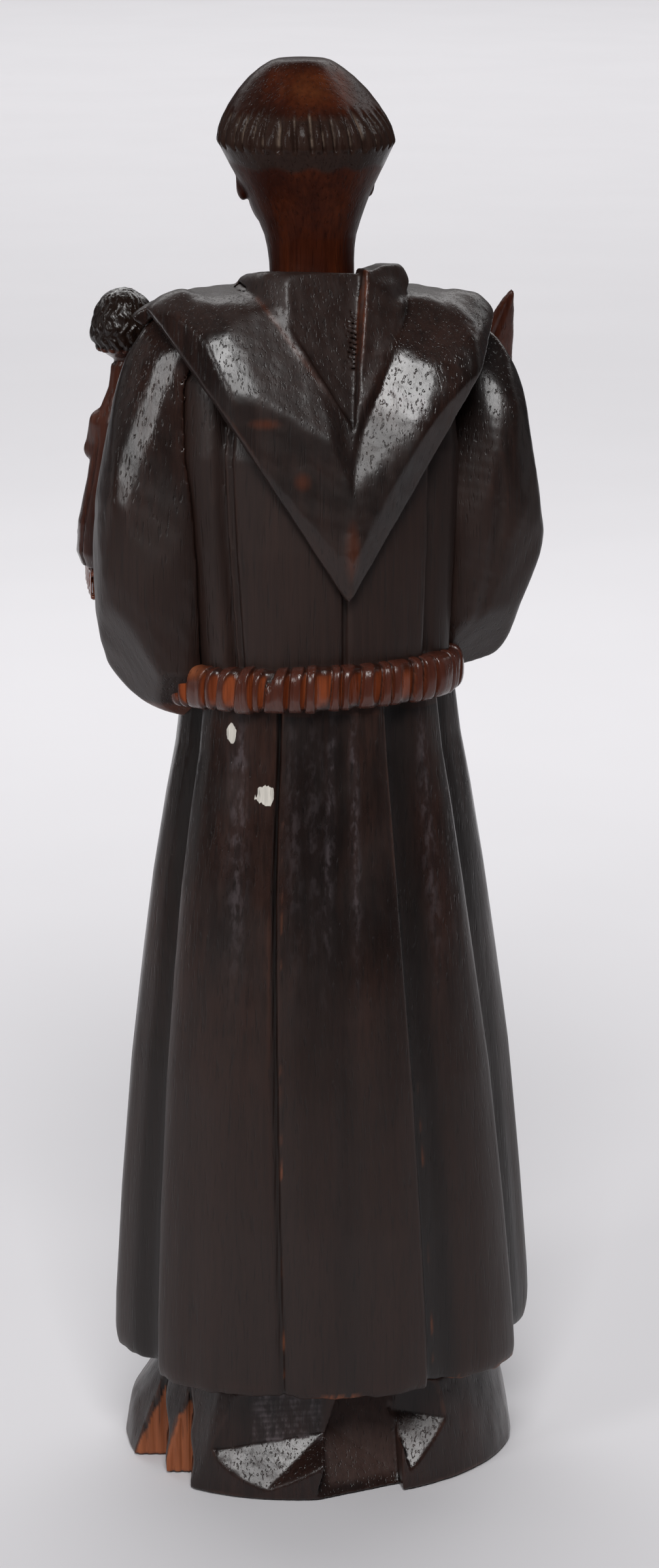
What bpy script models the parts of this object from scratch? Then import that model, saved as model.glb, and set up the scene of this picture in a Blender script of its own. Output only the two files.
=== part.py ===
"""Carved wooden friar statue, 400 mm tall, as separate blocks pinned with dowels.

Frame: +Z up, the figure faces -Y, its left hand is on +X, and the origin lies on the
floor under the middle of the plinth. All driving dimensions are in millimetres.
"""

import math

import bmesh
import bpy
from mathutils import Matrix, Vector

MM = 0.001
GAP = 0.30  # clearance between touching blocks

# ---------------------------------------------------------------- driving dimensions
Z_BASE = 30.0  # top of the plinth
Z_HEM = 31.6  # lowest point of the hem
Z_WAIST = 229.0  # butt joint between skirt and torso, hidden behind the cord
Z_NECK = 339.0  # top of the torso block
Z_COLLAR = 343.0  # top of the standing collar
BASE_W, BASE_BACK, BASE_FRONT = 56.0, 43.0, 57.0  # half width, rear and front reach
DOWEL_R = 3.0
PEG_R = 2.2
TENON_R = 9.0  # neck tenon
STEM_R = 1.7  # lily stalk

# skirt outline: height, half width, half depth behind, half depth in front, centre x
SKIRT = (
    (31.6, 60.0, 50.5, 49.0, 0.0),
    (48.0, 59.4, 50.0, 48.5, 0.2),
    (80.0, 57.0, 47.8, 46.5, 0.6),
    (120.0, 53.2, 44.0, 43.0, 1.0),
    (151.0, 49.2, 40.3, 39.5, 1.4),
    (174.0, 46.0, 37.4, 36.8, 1.6),
    (197.0, 42.2, 34.6, 34.2, 1.6),
    (212.0, 39.3, 33.0, 32.6, 1.6),
    (229.0, 37.2, 31.7, 31.3, 1.6),
)
# grooves between the carved folds, as bearings from the middle of the back towards the
# figure's right hand, with the height and lean of the fold that follows each groove
FOLDS = (
    (-70.0, 1.00, 0.80),
    (-26.0, 0.90, 1.15),
    (20.0, 1.05, 1.20),
    (55.0, 0.80, 0.90),
    (84.0, 0.90, 1.00),
    (118.0, 1.00, 1.10),
    (152.0, 0.95, 1.00),
    (186.0, 0.95, 0.90),
    (222.0, 1.00, 1.00),
    (256.0, 0.80, 1.00),
)
# torso outline, the same columns
TORSO = (
    (229.3, 37.8, 32.1, 31.5, 1.7),
    (245.0, 38.6, 32.4, 31.0, 2.0),
    (270.0, 40.5, 32.0, 30.0, 2.6),
    (295.0, 42.0, 30.5, 28.0, 3.0),
    (315.0, 41.0, 27.0, 23.5, 3.4),
    (328.0, 33.0, 22.0, 18.5, 3.8),
    (339.0, 19.0, 16.5, 13.5, 4.0),
)
HEAD_X, HEAD_Y = 4.4, -4.0


def clear_scene():
    for obj in list(bpy.data.objects):
        bpy.data.objects.remove(obj, do_unlink=True)


def collection(name):
    made = bpy.data.collections.new(name)
    bpy.context.scene.collection.children.link(made)
    return made


def material(name, colour, roughness):
    made = bpy.data.materials.new(name)
    made.use_nodes = True
    shader = made.node_tree.nodes["Principled BSDF"]
    shader.inputs["Base Color"].default_value = (*colour, 1.0)
    shader.inputs["Roughness"].default_value = roughness
    shader.inputs["Metallic"].default_value = 0.0
    return made


clear_scene()
PARTS = collection("wooden_friar_statue")
CUTTERS = collection("cutters")

DARK = material("dark_habit_wood", (0.030, 0.019, 0.016), 0.34)
FLESH = material("flesh_wood", (0.085, 0.028, 0.014), 0.36)
CORD = material("cord_wood", (0.140, 0.045, 0.019), 0.36)
RAW = material("raw_wood", (0.300, 0.140, 0.060), 0.70)


# ---------------------------------------------------------------- modelling helpers
def place(mesh, name, mat, group=PARTS):
    obj = bpy.data.objects.new(name, mesh)
    group.objects.link(obj)
    if mat:
        mesh.materials.clear()
        mesh.materials.append(mat)
    return obj


def finish_bmesh(bm, name, mat, group=PARTS):
    bmesh.ops.recalc_face_normals(bm, faces=bm.faces)
    for v in bm.verts:
        v.co *= MM
    mesh = bpy.data.meshes.new(name)
    bm.to_mesh(mesh)
    bm.free()
    return place(mesh, name, mat, group)


def smooth(obj, angle=40.0):
    obj.data.shade_smooth()
    obj.data.set_sharp_from_angle(angle=math.radians(angle))
    return obj


def loft(name, rings, mat, group=PARTS):
    """A closed block through rings of equal count, each end closed by a fan."""
    bm = bmesh.new()
    made = [[bm.verts.new(p) for p in ring] for ring in rings]
    n = len(rings[0])
    for low, high in zip(made, made[1:]):
        for i in range(n):
            j = (i + 1) % n
            bm.faces.new((low[i], low[j], high[j], high[i]))
    for ring in (made[0], made[-1]):
        middle = sum((v.co for v in ring), Vector()) / n
        hub = bm.verts.new(middle)
        for i in range(n):
            bm.faces.new((ring[i], ring[(i + 1) % n], hub))
    return finish_bmesh(bm, name, mat, group)


def bake(obj):
    """Applies the modifiers, keeping the object's name and material."""
    graph = bpy.context.evaluated_depsgraph_get()
    mesh = bpy.data.meshes.new_from_object(obj.evaluated_get(graph))
    obj.modifiers.clear()
    old = obj.data
    obj.data = mesh
    if old.users == 0:
        bpy.data.curves.remove(old) if isinstance(old, bpy.types.Curve) else bpy.data.meshes.remove(old)
    return obj


def helper(obj):
    """Marks a cutter."""
    for group in list(obj.users_collection):
        group.objects.unlink(obj)
    CUTTERS.objects.link(obj)
    obj.hide_render = True
    obj.display_type = "WIRE"
    return obj


def inflated(obj, gap=GAP):
    """A cutter that stands one clearance proud of a finished block."""
    bm = bmesh.new()
    bm.from_mesh(obj.data)
    bm.normal_update()
    moved = [v.co + v.normal * gap * MM * min(v.calc_shell_factor(), 1.8) for v in bm.verts]
    for v, co in zip(bm.verts, moved):
        v.co = co
    mesh = bpy.data.meshes.new("cut_" + obj.name)
    bm.to_mesh(mesh)
    bm.free()
    cutter = place(mesh, "cut_" + obj.name, None, CUTTERS)
    cutter.matrix_world = obj.matrix_world
    return helper(cutter)


def boolean(obj, other, operation):
    cut = obj.modifiers.new(operation.lower(), "BOOLEAN")
    cut.operation = operation
    cut.solver = "EXACT"
    cut.object = other
    return bake(obj)


def carve(obj, *others, gap=GAP):
    """Takes finished neighbours, with their clearance, out of a block."""
    for other in others:
        cutter = inflated(other, gap)
        boolean(obj, cutter, "DIFFERENCE")
        bpy.data.objects.remove(cutter, do_unlink=True)
    return obj


def drill(obj, *cutters):
    for cutter in cutters:
        boolean(obj, helper(cutter), "DIFFERENCE")
        bpy.data.objects.remove(cutter, do_unlink=True)
    return obj


def join(obj, *others):
    for other in others:
        boolean(obj, helper(other), "UNION")
        bpy.data.objects.remove(other, do_unlink=True)
    return obj


def keep_largest(obj):
    """Drops slivers that a cut may leave loose."""
    bm = bmesh.new()
    bm.from_mesh(obj.data)
    left, islands = set(bm.verts), []
    while left:
        stack, island = [left.pop()], set()
        while stack:
            v = stack.pop()
            island.add(v)
            for e in v.link_edges:
                o = e.other_vert(v)
                if o in left:
                    left.discard(o)
                    stack.append(o)
        islands.append(island)
    islands.sort(key=len, reverse=True)
    for island in islands[1:]:
        bmesh.ops.delete(bm, geom=list(island), context="VERTS")
    bmesh.ops.dissolve_degenerate(bm, dist=2e-6, edges=bm.edges)
    bm.to_mesh(obj.data)
    bm.free()
    return obj


def rod(name, start, end, radius, mat, segments=12, group=PARTS):
    """A round dowel between two points."""
    a, b = Vector(start), Vector(end)
    bm = bmesh.new()
    bmesh.ops.create_cone(
        bm, cap_ends=True, segments=segments, radius1=radius, radius2=radius, depth=(b - a).length
    )
    turn = (b - a).to_track_quat("Z", "Y").to_matrix().to_4x4()
    bmesh.ops.transform(bm, matrix=Matrix.Translation((a + b) / 2) @ turn, verts=bm.verts)
    return finish_bmesh(bm, name, mat, group)


def ball(name, centre, radii, mat, turn=None, u=16, v=10, group=PARTS):
    bm = bmesh.new()
    bmesh.ops.create_uvsphere(bm, u_segments=u, v_segments=v, radius=1.0)
    scale = Matrix.Diagonal((*radii, 1.0))
    bmesh.ops.transform(
        bm, matrix=Matrix.Translation(centre) @ (turn or Matrix.Identity(4)) @ scale, verts=bm.verts
    )
    return finish_bmesh(bm, name, mat, group)


def lerp_rows(rows, z):
    if z <= rows[0][0]:
        return rows[0][1:]
    for low, high in zip(rows, rows[1:]):
        if z <= high[0]:
            t = (z - low[0]) / (high[0] - low[0])
            return tuple(a + (b - a) * t for a, b in zip(low[1:], high[1:]))
    return rows[-1][1:]


def fold_height(bearing):
    """0 in a groove, up to about 1 on the crest of a carved fold."""
    b = (bearing - FOLDS[0][0]) % 360.0 + FOLDS[0][0]
    for i, (start, tall, lean) in enumerate(FOLDS):
        stop = FOLDS[i + 1][0] if i + 1 < len(FOLDS) else FOLDS[0][0] + 360.0
        if start <= b < stop:
            t = (b - start) / (stop - start)
            return tall * math.sin(math.pi * t**lean) ** 0.62
    return 0.0


def outline(rows, z, bearing, swell=0.0):
    """A point of a block's outline; the bearing runs from the back towards the figure's right."""
    a, back, front, cx = lerp_rows(rows, z)
    r = math.radians(bearing)
    s, c = math.sin(r), math.cos(r)
    b = back if c >= 0 else front
    return Vector((cx - (a + swell) * s, (b + swell) * c, z))


def skirt_depth(z):
    """Depth of the grooves: shallow at the waist, deep at the hem."""
    t = (Z_WAIST - z) / (Z_WAIST - Z_HEM)
    return 1.8 + 3.4 * min(1.0, max(0.0, t) * 1.25)


def skirt_point(z, bearing, proud=0.0):
    return outline(SKIRT, z, bearing, (fold_height(bearing) - 0.85) * skirt_depth(z) + proud)


def hem_rise(bearing):
    """The hem lifts over the toes at the front."""
    d = abs((bearing - 180.0 + 180.0) % 360.0 - 180.0)
    return 9.0 * max(0.0, math.cos(math.radians(min(d * 2.2, 90.0)))) ** 0.7


# ---------------------------------------------------------------- habit: skirt and torso
BEARINGS = [i * 360.0 / 84 for i in range(84)]
rings = []
for k, z in enumerate((31.6, 36.0, 48.0, 64.0, 80.0, 100.0, 120.0, 140.0, 160.0, 180.0, 200.0, 215.0, 228.9)):
    fade = max(0.0, 1.0 - k / 4.0)
    rings.append([skirt_point(z, b) + Vector((0, 0, hem_rise(b) * fade)) for b in BEARINGS])
skirt = loft("habit_skirt", rings, DARK)


def torso_fold(bearing, z):
    """Soft drapery grooves down the back and chest."""
    total = 0.0
    for groove, width, deep in ((-42, 9, 1.2), (-4, 6, 0.7), (27, 7, 1.3), (38, 6, 1.5), (165, 8, 1.0), (195, 8, 1.0)):
        d = ((bearing - groove + 180.0) % 360.0 - 180.0) / width
        total += deep * math.exp(-d * d)
    return -total * min(1.0, max(0.0, (330.0 - z) / 40.0))


rings = []
for z in (229.3, 238.0, 248.0, 260.0, 272.0, 284.0, 296.0, 307.0, 316.0, 323.0, 329.0, 334.5, 339.0):
    rings.append([outline(TORSO, z, i * 7.5, torso_fold(i * 7.5, z)) for i in range(48)])
torso = loft("habit_torso", rings, DARK)

# ---------------------------------------------------------------- plinth
bm = bmesh.new()
bmesh.ops.create_cone(bm, cap_ends=True, segments=36, radius1=1.0, radius2=0.84, depth=Z_BASE)
for v in bm.verts:
    reach = BASE_FRONT if v.co.y < 0 else BASE_BACK
    squareness = 1.0 + 0.06 * abs(math.sin(2 * math.atan2(v.co.y, v.co.x)))
    v.co = Vector((v.co.x * BASE_W * squareness, v.co.y * reach * squareness, v.co.z + Z_BASE / 2))


def chisel(bm, point, normal):
    """One flat gouge cut: everything outside the plane is struck off."""
    cut = bmesh.ops.bisect_plane(
        bm,
        geom=bm.verts[:] + bm.edges[:] + bm.faces[:],
        dist=1e-4,
        plane_co=Vector(point),
        plane_no=Vector(normal).normalized(),
        clear_outer=True,
    )
    edges = [g for g in cut["geom_cut"] if isinstance(g, bmesh.types.BMEdge)]
    if edges:
        bmesh.ops.edgeloop_fill(bm, edges=edges)


for bearing, reach, tilt, up in (
    (-64, 50.0, 34, 16.0),
    (-24, 42.5, 38, 14.0),
    (6, 40.0, 24, 18.0),
    (26, 43.0, 42, 13.0),
    (52, 48.0, 25, 18.0),
    (78, 53.5, 20, 16.0),
    (112, 56.0, 30, 16.0),
    (146, 56.0, 36, 16.0),
    (208, 57.0, 33, 16.0),
    (244, 56.5, 28, 15.0),
    (278, 54.0, 24, 18.0),
):
    r, e = math.radians(bearing), math.radians(tilt)
    out = Vector((-math.sin(r), math.cos(r), 0.0))
    chisel(bm, out * reach + Vector((0, 0, up)), out * math.cos(e) + Vector((0, 0, math.sin(e))))
plinth = finish_bmesh(bm, "base_plinth", DARK)

# the corner behind the left heel has split away along the grain in two steps
VIEW = math.radians(12.0)
across, towards = Vector((math.cos(VIEW), -math.sin(VIEW), 0)), Vector((math.sin(VIEW), math.cos(VIEW), 0))


def splitter(name, low, high, depth):
    bm = bmesh.new()
    bmesh.ops.create_cube(bm, size=1.0)
    frame = Matrix((across, towards, Vector((0, 0, 1)))).transposed().to_4x4()
    for v in bm.verts:
        v.co = Vector(((low + high) / 2 + v.co.x * (high - low), depth + 20.0 + v.co.y * 40.0, 30.0 + v.co.z * 80.0))
    bmesh.ops.transform(bm, matrix=frame, verts=bm.verts)
    return finish_bmesh(bm, name, None, CUTTERS)


drill(plinth, splitter("split_outer", 45.0, 80.0, 13.5), splitter("split_inner", 37.2, 60.0, 26.0))

# ---------------------------------------------------------------- feet on the plinth's front ledge
def foot(name, x, turn):
    bm = bmesh.new()
    bmesh.ops.create_cube(bm, size=1.0)
    bmesh.ops.subdivide_edges(bm, edges=bm.edges[:], cuts=2, use_grid_fill=True)
    for v in bm.verts:
        t = 0.5 - v.co.y  # 0 at the heel, 1 at the toes
        top = 8.2 - 3.6 * t
        v.co = Vector((v.co.x * (9.5 + 3.5 * t), v.co.y * 22.0, (v.co.z + 0.5) * top))
    bmesh.ops.transform(
        bm,
        matrix=Matrix.Translation((x, -42.0, Z_BASE + GAP)) @ Matrix.Rotation(math.radians(turn), 4, "Z"),
        verts=bm.verts,
    )
    made = finish_bmesh(bm, name, FLESH)
    bevel = made.modifiers.new("round", "BEVEL")
    bevel.width, bevel.segments, bevel.limit_method, bevel.angle_limit = 1.4 * MM, 2, "ANGLE", math.radians(35)
    return bake(made)


left_foot, right_foot = foot("left_foot", 11.0, 9.0), foot("right_foot", -11.0, -9.0)
carve(skirt, left_foot, right_foot)


# ---------------------------------------------------------------- sleeves
def arm(name, stations, mat, n=20):
    """A draped sleeve through stations of centre, sideways and fore-and-aft half size."""
    rings = []
    for k, (centre, wide, deep) in enumerate(stations):
        c = Vector(centre)
        a = Vector(stations[max(k - 1, 0)][0])
        b = Vector(stations[min(k + 1, len(stations) - 1)][0])
        along = (b - a).normalized()
        side = Vector((1, 0, 0)) - along * along.x
        side.normalize()
        over = along.cross(side)
        ring = []
        for i in range(n):
            t = 2 * math.pi * i / n
            x, y = math.cos(t), math.sin(t)
            x, y = math.copysign(abs(x) ** 0.85, x), math.copysign(abs(y) ** 0.85, y)
            ring.append(c + side * wide * x + over * deep * y)
        rings.append(ring)
    return loft(name, rings, mat)


LEFT_ARM = (
    ((38.0, -1.0, 327.0), 5.0, 7.0),
    ((44.0, 0.0, 318.0), 10.5, 13.0),
    ((47.5, 1.0, 303.0), 11.5, 15.5),
    ((50.0, 2.0, 286.0), 12.5, 17.0),
    ((51.0, 1.5, 266.0), 13.0, 17.5),
    ((50.5, -2.0, 247.0), 13.5, 17.5),
    ((48.5, -11.0, 236.0), 13.5, 16.5),
    ((46.0, -24.0, 234.0), 13.0, 14.5),
    ((44.0, -36.0, 238.0), 12.5, 13.0),
)
RIGHT_ARM = (
    ((-32.0, -1.0, 327.0), 5.0, 7.0),
    ((-43.0, 0.0, 315.0), 10.5, 13.0),
    ((-48.2, 1.0, 300.0), 11.0, 15.0),
    ((-50.6, 2.0, 283.0), 11.5, 16.0),
    ((-49.4, 1.0, 266.0), 11.6, 16.5),
    ((-45.5, -4.0, 252.0), 11.5, 16.0),
    ((-41.5, -14.0, 246.0), 12.0, 14.5),
    ((-37.5, -26.0, 248.0), 11.5, 13.0),
    ((-34.0, -36.0, 253.0), 11.0, 12.0),
)
left_sleeve = arm("left_sleeve", LEFT_ARM, DARK)
right_sleeve = arm("right_sleeve", RIGHT_ARM, DARK)
for sleeve in (left_sleeve, right_sleeve):
    carve(sleeve, torso, skirt)
    keep_largest(sleeve)

# ---------------------------------------------------------------- head with its neck tenon
HEAD = (  # height, half width, rear, front
    (318.0, TENON_R, TENON_R, TENON_R),
    (336.0, TENON_R, TENON_R, TENON_R),
    (336.6, 11.5, 11.2, 10.8),
    (346.0, 11.6, 11.4, 11.8),
    (351.0, 12.0, 11.6, 19.0),
    (355.0, 13.6, 13.0, 22.4),
    (361.0, 16.0, 15.8, 23.4),
    (367.0, 18.6, 18.8, 23.2),
    (372.0, 20.6, 21.2, 22.8),
    (375.5, 22.8, 23.6, 23.4),
    (379.5, 23.2, 24.0, 24.0),
    (385.0, 21.0, 22.0, 22.4),
    (391.0, 16.6, 17.8, 18.4),
    (396.5, 11.2, 12.0, 13.0),
    (400.0, 4.0, 4.4, 4.8),
)


def head_x(z):
    """The axis of the head leans from the neck towards the figure's left."""
    return HEAD_X - 1.9 + 2.1 * min(1.0, max(0.0, (z - 352.0) / 40.0))


rings = []
for z, wide, rear, front in HEAD:
    lean = Vector((head_x(z), HEAD_Y * min(1.0, max(0.0, (z - 330.0) / 30.0)), 0.0))
    ring = []
    for i in range(28):
        r = 2 * math.pi * i / 28
        ring.append(lean + Vector((wide * math.sin(r), (rear if math.cos(r) > 0 else front) * math.cos(r), z)))
    rings.append(ring)
head = loft("head", rings, FLESH)
nose = ball("nose", (head_x(365.0), HEAD_Y - 23.5, 365.0), (2.4, 3.6, 5.2), FLESH, u=10, v=6)
left_ear = ball("left_ear", (head_x(366.5) + 18.6, HEAD_Y - 1.0, 366.5), (2.6, 3.4, 5.6), FLESH, u=10, v=6)
right_ear = ball("right_ear", (head_x(366.5) - 18.6, HEAD_Y - 1.0, 366.5), (2.6, 3.4, 5.6), FLESH, u=10, v=6)
join(head, nose, left_ear, right_ear)
carve(torso, head)

# ---------------------------------------------------------------- hood lying over the shoulders
def hood_edge(bearing):
    """Height of the hood's free edge: a deep point behind, shallow over the arms, a short point in front."""
    d = abs((bearing + 180.0) % 360.0 - 180.0)
    if d < 78.0:
        return 262.0 + (326.0 - 262.0) * (d / 78.0) ** 0.86
    if d < 110.0:
        return 326.0
    return 326.0 - 30.0 * ((d - 110.0) / 70.0) ** 1.2


HOOD = (  # height, half width, rear, front, centre x: outside of the shoulders plus the hood
    (255.0, 44.0, 38.0, 36.0, 2.6),
    (285.0, 46.0, 38.0, 35.0, 2.8),
    (305.0, 47.0, 36.5, 33.0, 3.0),
    (320.0, 48.0, 32.5, 29.0, 3.0),
    (330.0, 47.0, 28.4, 24.5, 3.2),
    (335.5, 42.0, 25.0, 21.0, 3.6),
    (338.6, 31.0, 22.4, 18.5, 3.8),
    (343.0, 24.0, 20.0, 16.5, 4.2),
)
rings = []
N_HOOD = 48
for share in (0.0, 0.25, 0.5, 0.75, 1.0):
    ring = []
    for i in range(N_HOOD):
        b = i * 360.0 / N_HOOD
        low = hood_edge(b)
        z = low + (336.0 - low) * share
        ring.append(outline(HOOD, z, b))
    rings.append(ring)
rings.append([outline(HOOD, 340.0, i * 360.0 / N_HOOD) for i in range(N_HOOD)])
rings.append([outline(HOOD, 343.0, i * 360.0 / N_HOOD) for i in range(N_HOOD)])
hood = loft("hood_cape", rings, DARK)
# hollow of the hood between its two rolled edges, a V that opens at the collar
TURN = [2 * math.pi * k / 16 for k in range(16)]
hollow = loft(
    "hollow",
    [
        [Vector((x + wide * math.cos(t), y + 6.0 * math.sin(t), z)) for t in TURN]
        for z, x, wide, y in (
            (304.0, -3.0, 1.0, 41.4),
            (312.0, -1.0, 3.5, 39.8),
            (320.0, 1.5, 6.5, 36.6),
            (330.0, 4.0, 10.5, 31.6),
            (336.0, 5.5, 13.0, 27.8),
            (341.0, 7.0, 15.0, 24.8),
            (350.0, 8.0, 16.0, 22.0),
        )
    ],
    None,
    CUTTERS,
)
drill(hood, hollow)
# the standing collar's folded flap, to the right of the nape
flap = loft(
    "flap",
    [
        [Vector((x + wide * math.cos(t), y + deep * math.sin(t), z)) for t in TURN]
        for z, x, wide, y, deep in (
            (304.5, -5.4, 0.9, 36.0, 1.6),
            (318.0, -9.0, 3.0, 32.0, 3.0),
            (332.0, -13.0, 5.0, 25.6, 3.8),
            (344.6, -16.4, 6.4, 18.4, 4.2),
        )
    ],
    DARK,
)
join(hood, flap)
carve(hood, torso, left_sleeve, right_sleeve, head)
# the neck opening flares between collar and nape
bm = bmesh.new()
bmesh.ops.create_cone(bm, cap_ends=True, segments=28, radius1=12.0, radius2=20.0, depth=12.0)
bmesh.ops.transform(bm, matrix=Matrix.Translation((HEAD_X - 1.9, 0.5, 341.0)) @ Matrix.Diagonal((1.0, 0.82, 1.0, 1.0)), verts=bm.verts)
drill(hood, finish_bmesh(bm, "flare", None, CUTTERS))
keep_largest(hood)

# ---------------------------------------------------------------- cord round the waist
def cord_height(bearing):
    r = math.radians(bearing)
    return 231.2 + 2.5 * math.cos(r) + 1.0 * math.sin(r)


def cord_ring(name, reach):
    curve = bpy.data.curves.new(name, "CURVE")
    curve.dimensions = "3D"
    curve.bevel_depth, curve.bevel_resolution, curve.use_fill_caps = 5.0 * MM, 2, True
    spline = curve.splines.new("POLY")
    count = 56
    spline.points.add(count - 1)
    for i, p in enumerate(spline.points):
        b = i * 360.0 / count
        p.co = (*(outline(TORSO, 230.0, b, reach) * MM).xy, cord_height(b) * MM, 1.0)
    spline.use_cyclic_u = True
    guide = bpy.data.objects.new(name + "_guide", curve)
    CUTTERS.objects.link(guide)
    bpy.context.view_layer.update()
    graph = bpy.context.evaluated_depsgraph_get()
    mesh = bpy.data.meshes.new_from_object(guide.evaluated_get(graph))
    bm = bmesh.new()
    bm.from_mesh(mesh)
    bmesh.ops.remove_doubles(bm, verts=bm.verts, dist=1e-6)
    bmesh.ops.recalc_face_normals(bm, faces=bm.faces)
    bm.to_mesh(mesh)
    bm.free()
    bpy.data.objects.remove(guide, do_unlink=True)
    return place(mesh, name, CORD)


belt = cord_ring("cord_belt", 1.9)
carve(belt, torso, skirt, left_sleeve, right_sleeve)
keep_largest(belt)

# hanging end of the cord, with its knots, down the front of the skirt
TAIL_BEARING = 172.0
bm = bmesh.new()
tail_path = []
for k in range(13):
    z = 219.0 - k * 9.0
    tail_path.append(skirt_point(z, TAIL_BEARING, 1.6))
tail_rings = []
KNOTS = (3, 6, 9)
for k, c in enumerate(tail_path):
    swell = 1.45 if k in KNOTS else 1.0
    tail_rings.append([c + Vector((3.0 * swell * math.cos(t), 2.8 * swell * math.sin(t), 0)) for t in [2 * math.pi * i / 12 for i in range(12)]])
bm.free()
tail = loft("cord_tail", tail_rings, CORD)
carve(tail, skirt, belt)
keep_largest(tail)

# ---------------------------------------------------------------- hands, book, child and lily
def rounded_block(name, centre, size, mat, turn=None, width=2.0, cuts=1):
    bm = bmesh.new()
    bmesh.ops.create_cube(bm, size=1.0)
    for v in bm.verts:
        v.co = Vector((v.co.x * size[0], v.co.y * size[1], v.co.z * size[2]))
    bmesh.ops.transform(bm, matrix=Matrix.Translation(centre) @ (turn or Matrix.Identity(4)), verts=bm.verts)
    made = finish_bmesh(bm, name, mat)
    bevel = made.modifiers.new("round", "BEVEL")
    bevel.width, bevel.segments = width * MM, cuts + 1
    return bake(made)


# left hand: palm up under the book, tenoned into the cuff
left_hand = rounded_block("left_hand", (43.0, -52.5, 242.0), (15.0, 23.0, 7.5), FLESH, Matrix.Rotation(math.radians(-4), 4, "Z"), 2.6)
left_wrist = rod("left_wrist", (44.4, -26.0, 235.6), (43.4, -46.0, 240.6), 5.4, FLESH)
join(left_hand, left_wrist)
carve(left_sleeve, left_hand)
keep_largest(left_sleeve)

# right hand: a fist round the lily stalk, tenoned into the cuff
FIST = Vector((-34.0, -44.0, 258.0))
LILY_TIP = Vector((-59.4, -23.0, 332.2))
LILY_AXIS = (LILY_TIP - Vector((-34.6, -46.6, 258.0))).normalized()
LILY_LOW = LILY_TIP - LILY_AXIS * 118.0
right_hand = ball("right_hand", FIST, (8.2, 8.0, 10.0), FLESH, u=16, v=10)
right_wrist = rod("right_wrist", (-36.6, -26.0, 250.0), (-34.4, -42.0, 257.0), 5.2, FLESH)
join(right_hand, right_wrist)
on_axis = LILY_LOW + LILY_AXIS * (FIST - LILY_LOW).dot(LILY_AXIS)
drill(right_hand, rod("stalk_hole", on_axis - LILY_AXIS * 20, on_axis + LILY_AXIS * 20, STEM_R + GAP, None, group=CUTTERS))
carve(right_sleeve, right_hand)
keep_largest(right_sleeve)

# closed book lying on the left hand
BOOK_Z = 246.3
book = rounded_block("book", (45.0, -47.0, BOOK_Z + 4.2), (27.0, 34.0, 8.0), CORD, Matrix.Rotation(math.radians(-6), 4, "Z"), 0.8, 0)
carve(left_sleeve, book)
keep_largest(left_sleeve)
CHILD_X, CHILD_Y = 49.5, -41.0
SEAT_Z = BOOK_Z + 8.2 + GAP

# lily: stalk, pointed leaf and closed bud cut from one flat lath
stalk = rod("lily_stem", LILY_LOW, LILY_LOW + LILY_AXIS * 92.0, STEM_R, CORD, 10)
side = Vector((0, 1, 0)).cross(LILY_AXIS).normalized()
face = LILY_AXIS.cross(side).normalized()


def blade(name, profile, thick):
    """A flat pointed leaf: rows of distance along the stalk, reach to each side."""
    rings = []
    for s, left, right in profile:
        c = LILY_LOW + LILY_AXIS * s
        mid = (left + right) / 2
        half = (right - left) / 2
        rings.append(
            [c + side * (mid + half * math.cos(t)) + face * (thick * math.sin(t)) for t in [2 * math.pi * k / 12 for k in range(12)]]
        )
    return loft(name, rings, CORD)


leaf = blade("leaf", ((70, -2.0, 2.0), (78, -6.0, 4.0), (88, -9.6, 4.6), (97, -8.6, 4.2), (106, -5.4, 3.2), (114, -2.4, 1.6), (118, -0.7, 0.5)), 2.3)
join(stalk, leaf)
lily = stalk

# child: seated robe, chest, head, arms and legs in one piece
child = loft(
    "child_figure",
    [
        [Vector((CHILD_X + wide * math.cos(t), CHILD_Y + lean + deep * math.sin(t), z)) for t in [2 * math.pi * k / 20 for k in range(20)]]
        for z, wide, deep, lean in (
            (SEAT_Z, 11.5, 12.5, 0.0),
            (SEAT_Z + 4, 13.0, 13.6, 0.0),
            (SEAT_Z + 13, 12.6, 11.8, 1.5),
            (SEAT_Z + 25, 10.8, 8.6, 3.5),
            (SEAT_Z + 40, 10.2, 7.2, 5.0),
            (SEAT_Z + 49, 8.4, 6.0, 5.6),
            (SEAT_Z + 54, 4.6, 4.4, 6.0),
            (SEAT_Z + 64, 4.2, 4.2, 6.4),
        )
    ],
    FLESH,
)
CHILD_HEAD = Vector((CHILD_X, CHILD_Y + 7.0, 324.0))
child_head = ball("child_head", CHILD_HEAD, (9.0, 9.2, 10.2), FLESH, u=20, v=12)
legs = [
    ball("child_leg", (CHILD_X + dx, CHILD_Y - 14.0, SEAT_Z + 5.0), (4.6, 10.0, 4.4), FLESH, Matrix.Rotation(math.radians(-10), 4, "X"), 12, 8)
    for dx in (-6.0, 5.0)
]
arms = [
    ball("child_arm", (CHILD_X + dx, CHILD_Y - 4.0, SEAT_Z + 36.0), (3.4, 9.0, 3.6), FLESH, Matrix.Rotation(math.radians(-25), 4, "X"), 12, 8)
    for dx in (-9.5, 9.0)
]
join(child, child_head, *legs, *arms)
carve(child, left_sleeve, hood, torso, gap=0.8)
keep_largest(child)

# ---------------------------------------------------------------- dowels
PEG_TOP = SEAT_Z + 12.0
child_peg = rod("child_peg", (CHILD_X - 2.0, CHILD_Y - 1.0, BOOK_Z + 2.6), (CHILD_X - 2.0, CHILD_Y - 1.0, PEG_TOP), PEG_R, RAW)


def socket(start, end, radius):
    """A blind hole, running past the joint face at both ends."""
    return rod("socket", start, end, radius, None, 12, CUTTERS)


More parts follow.
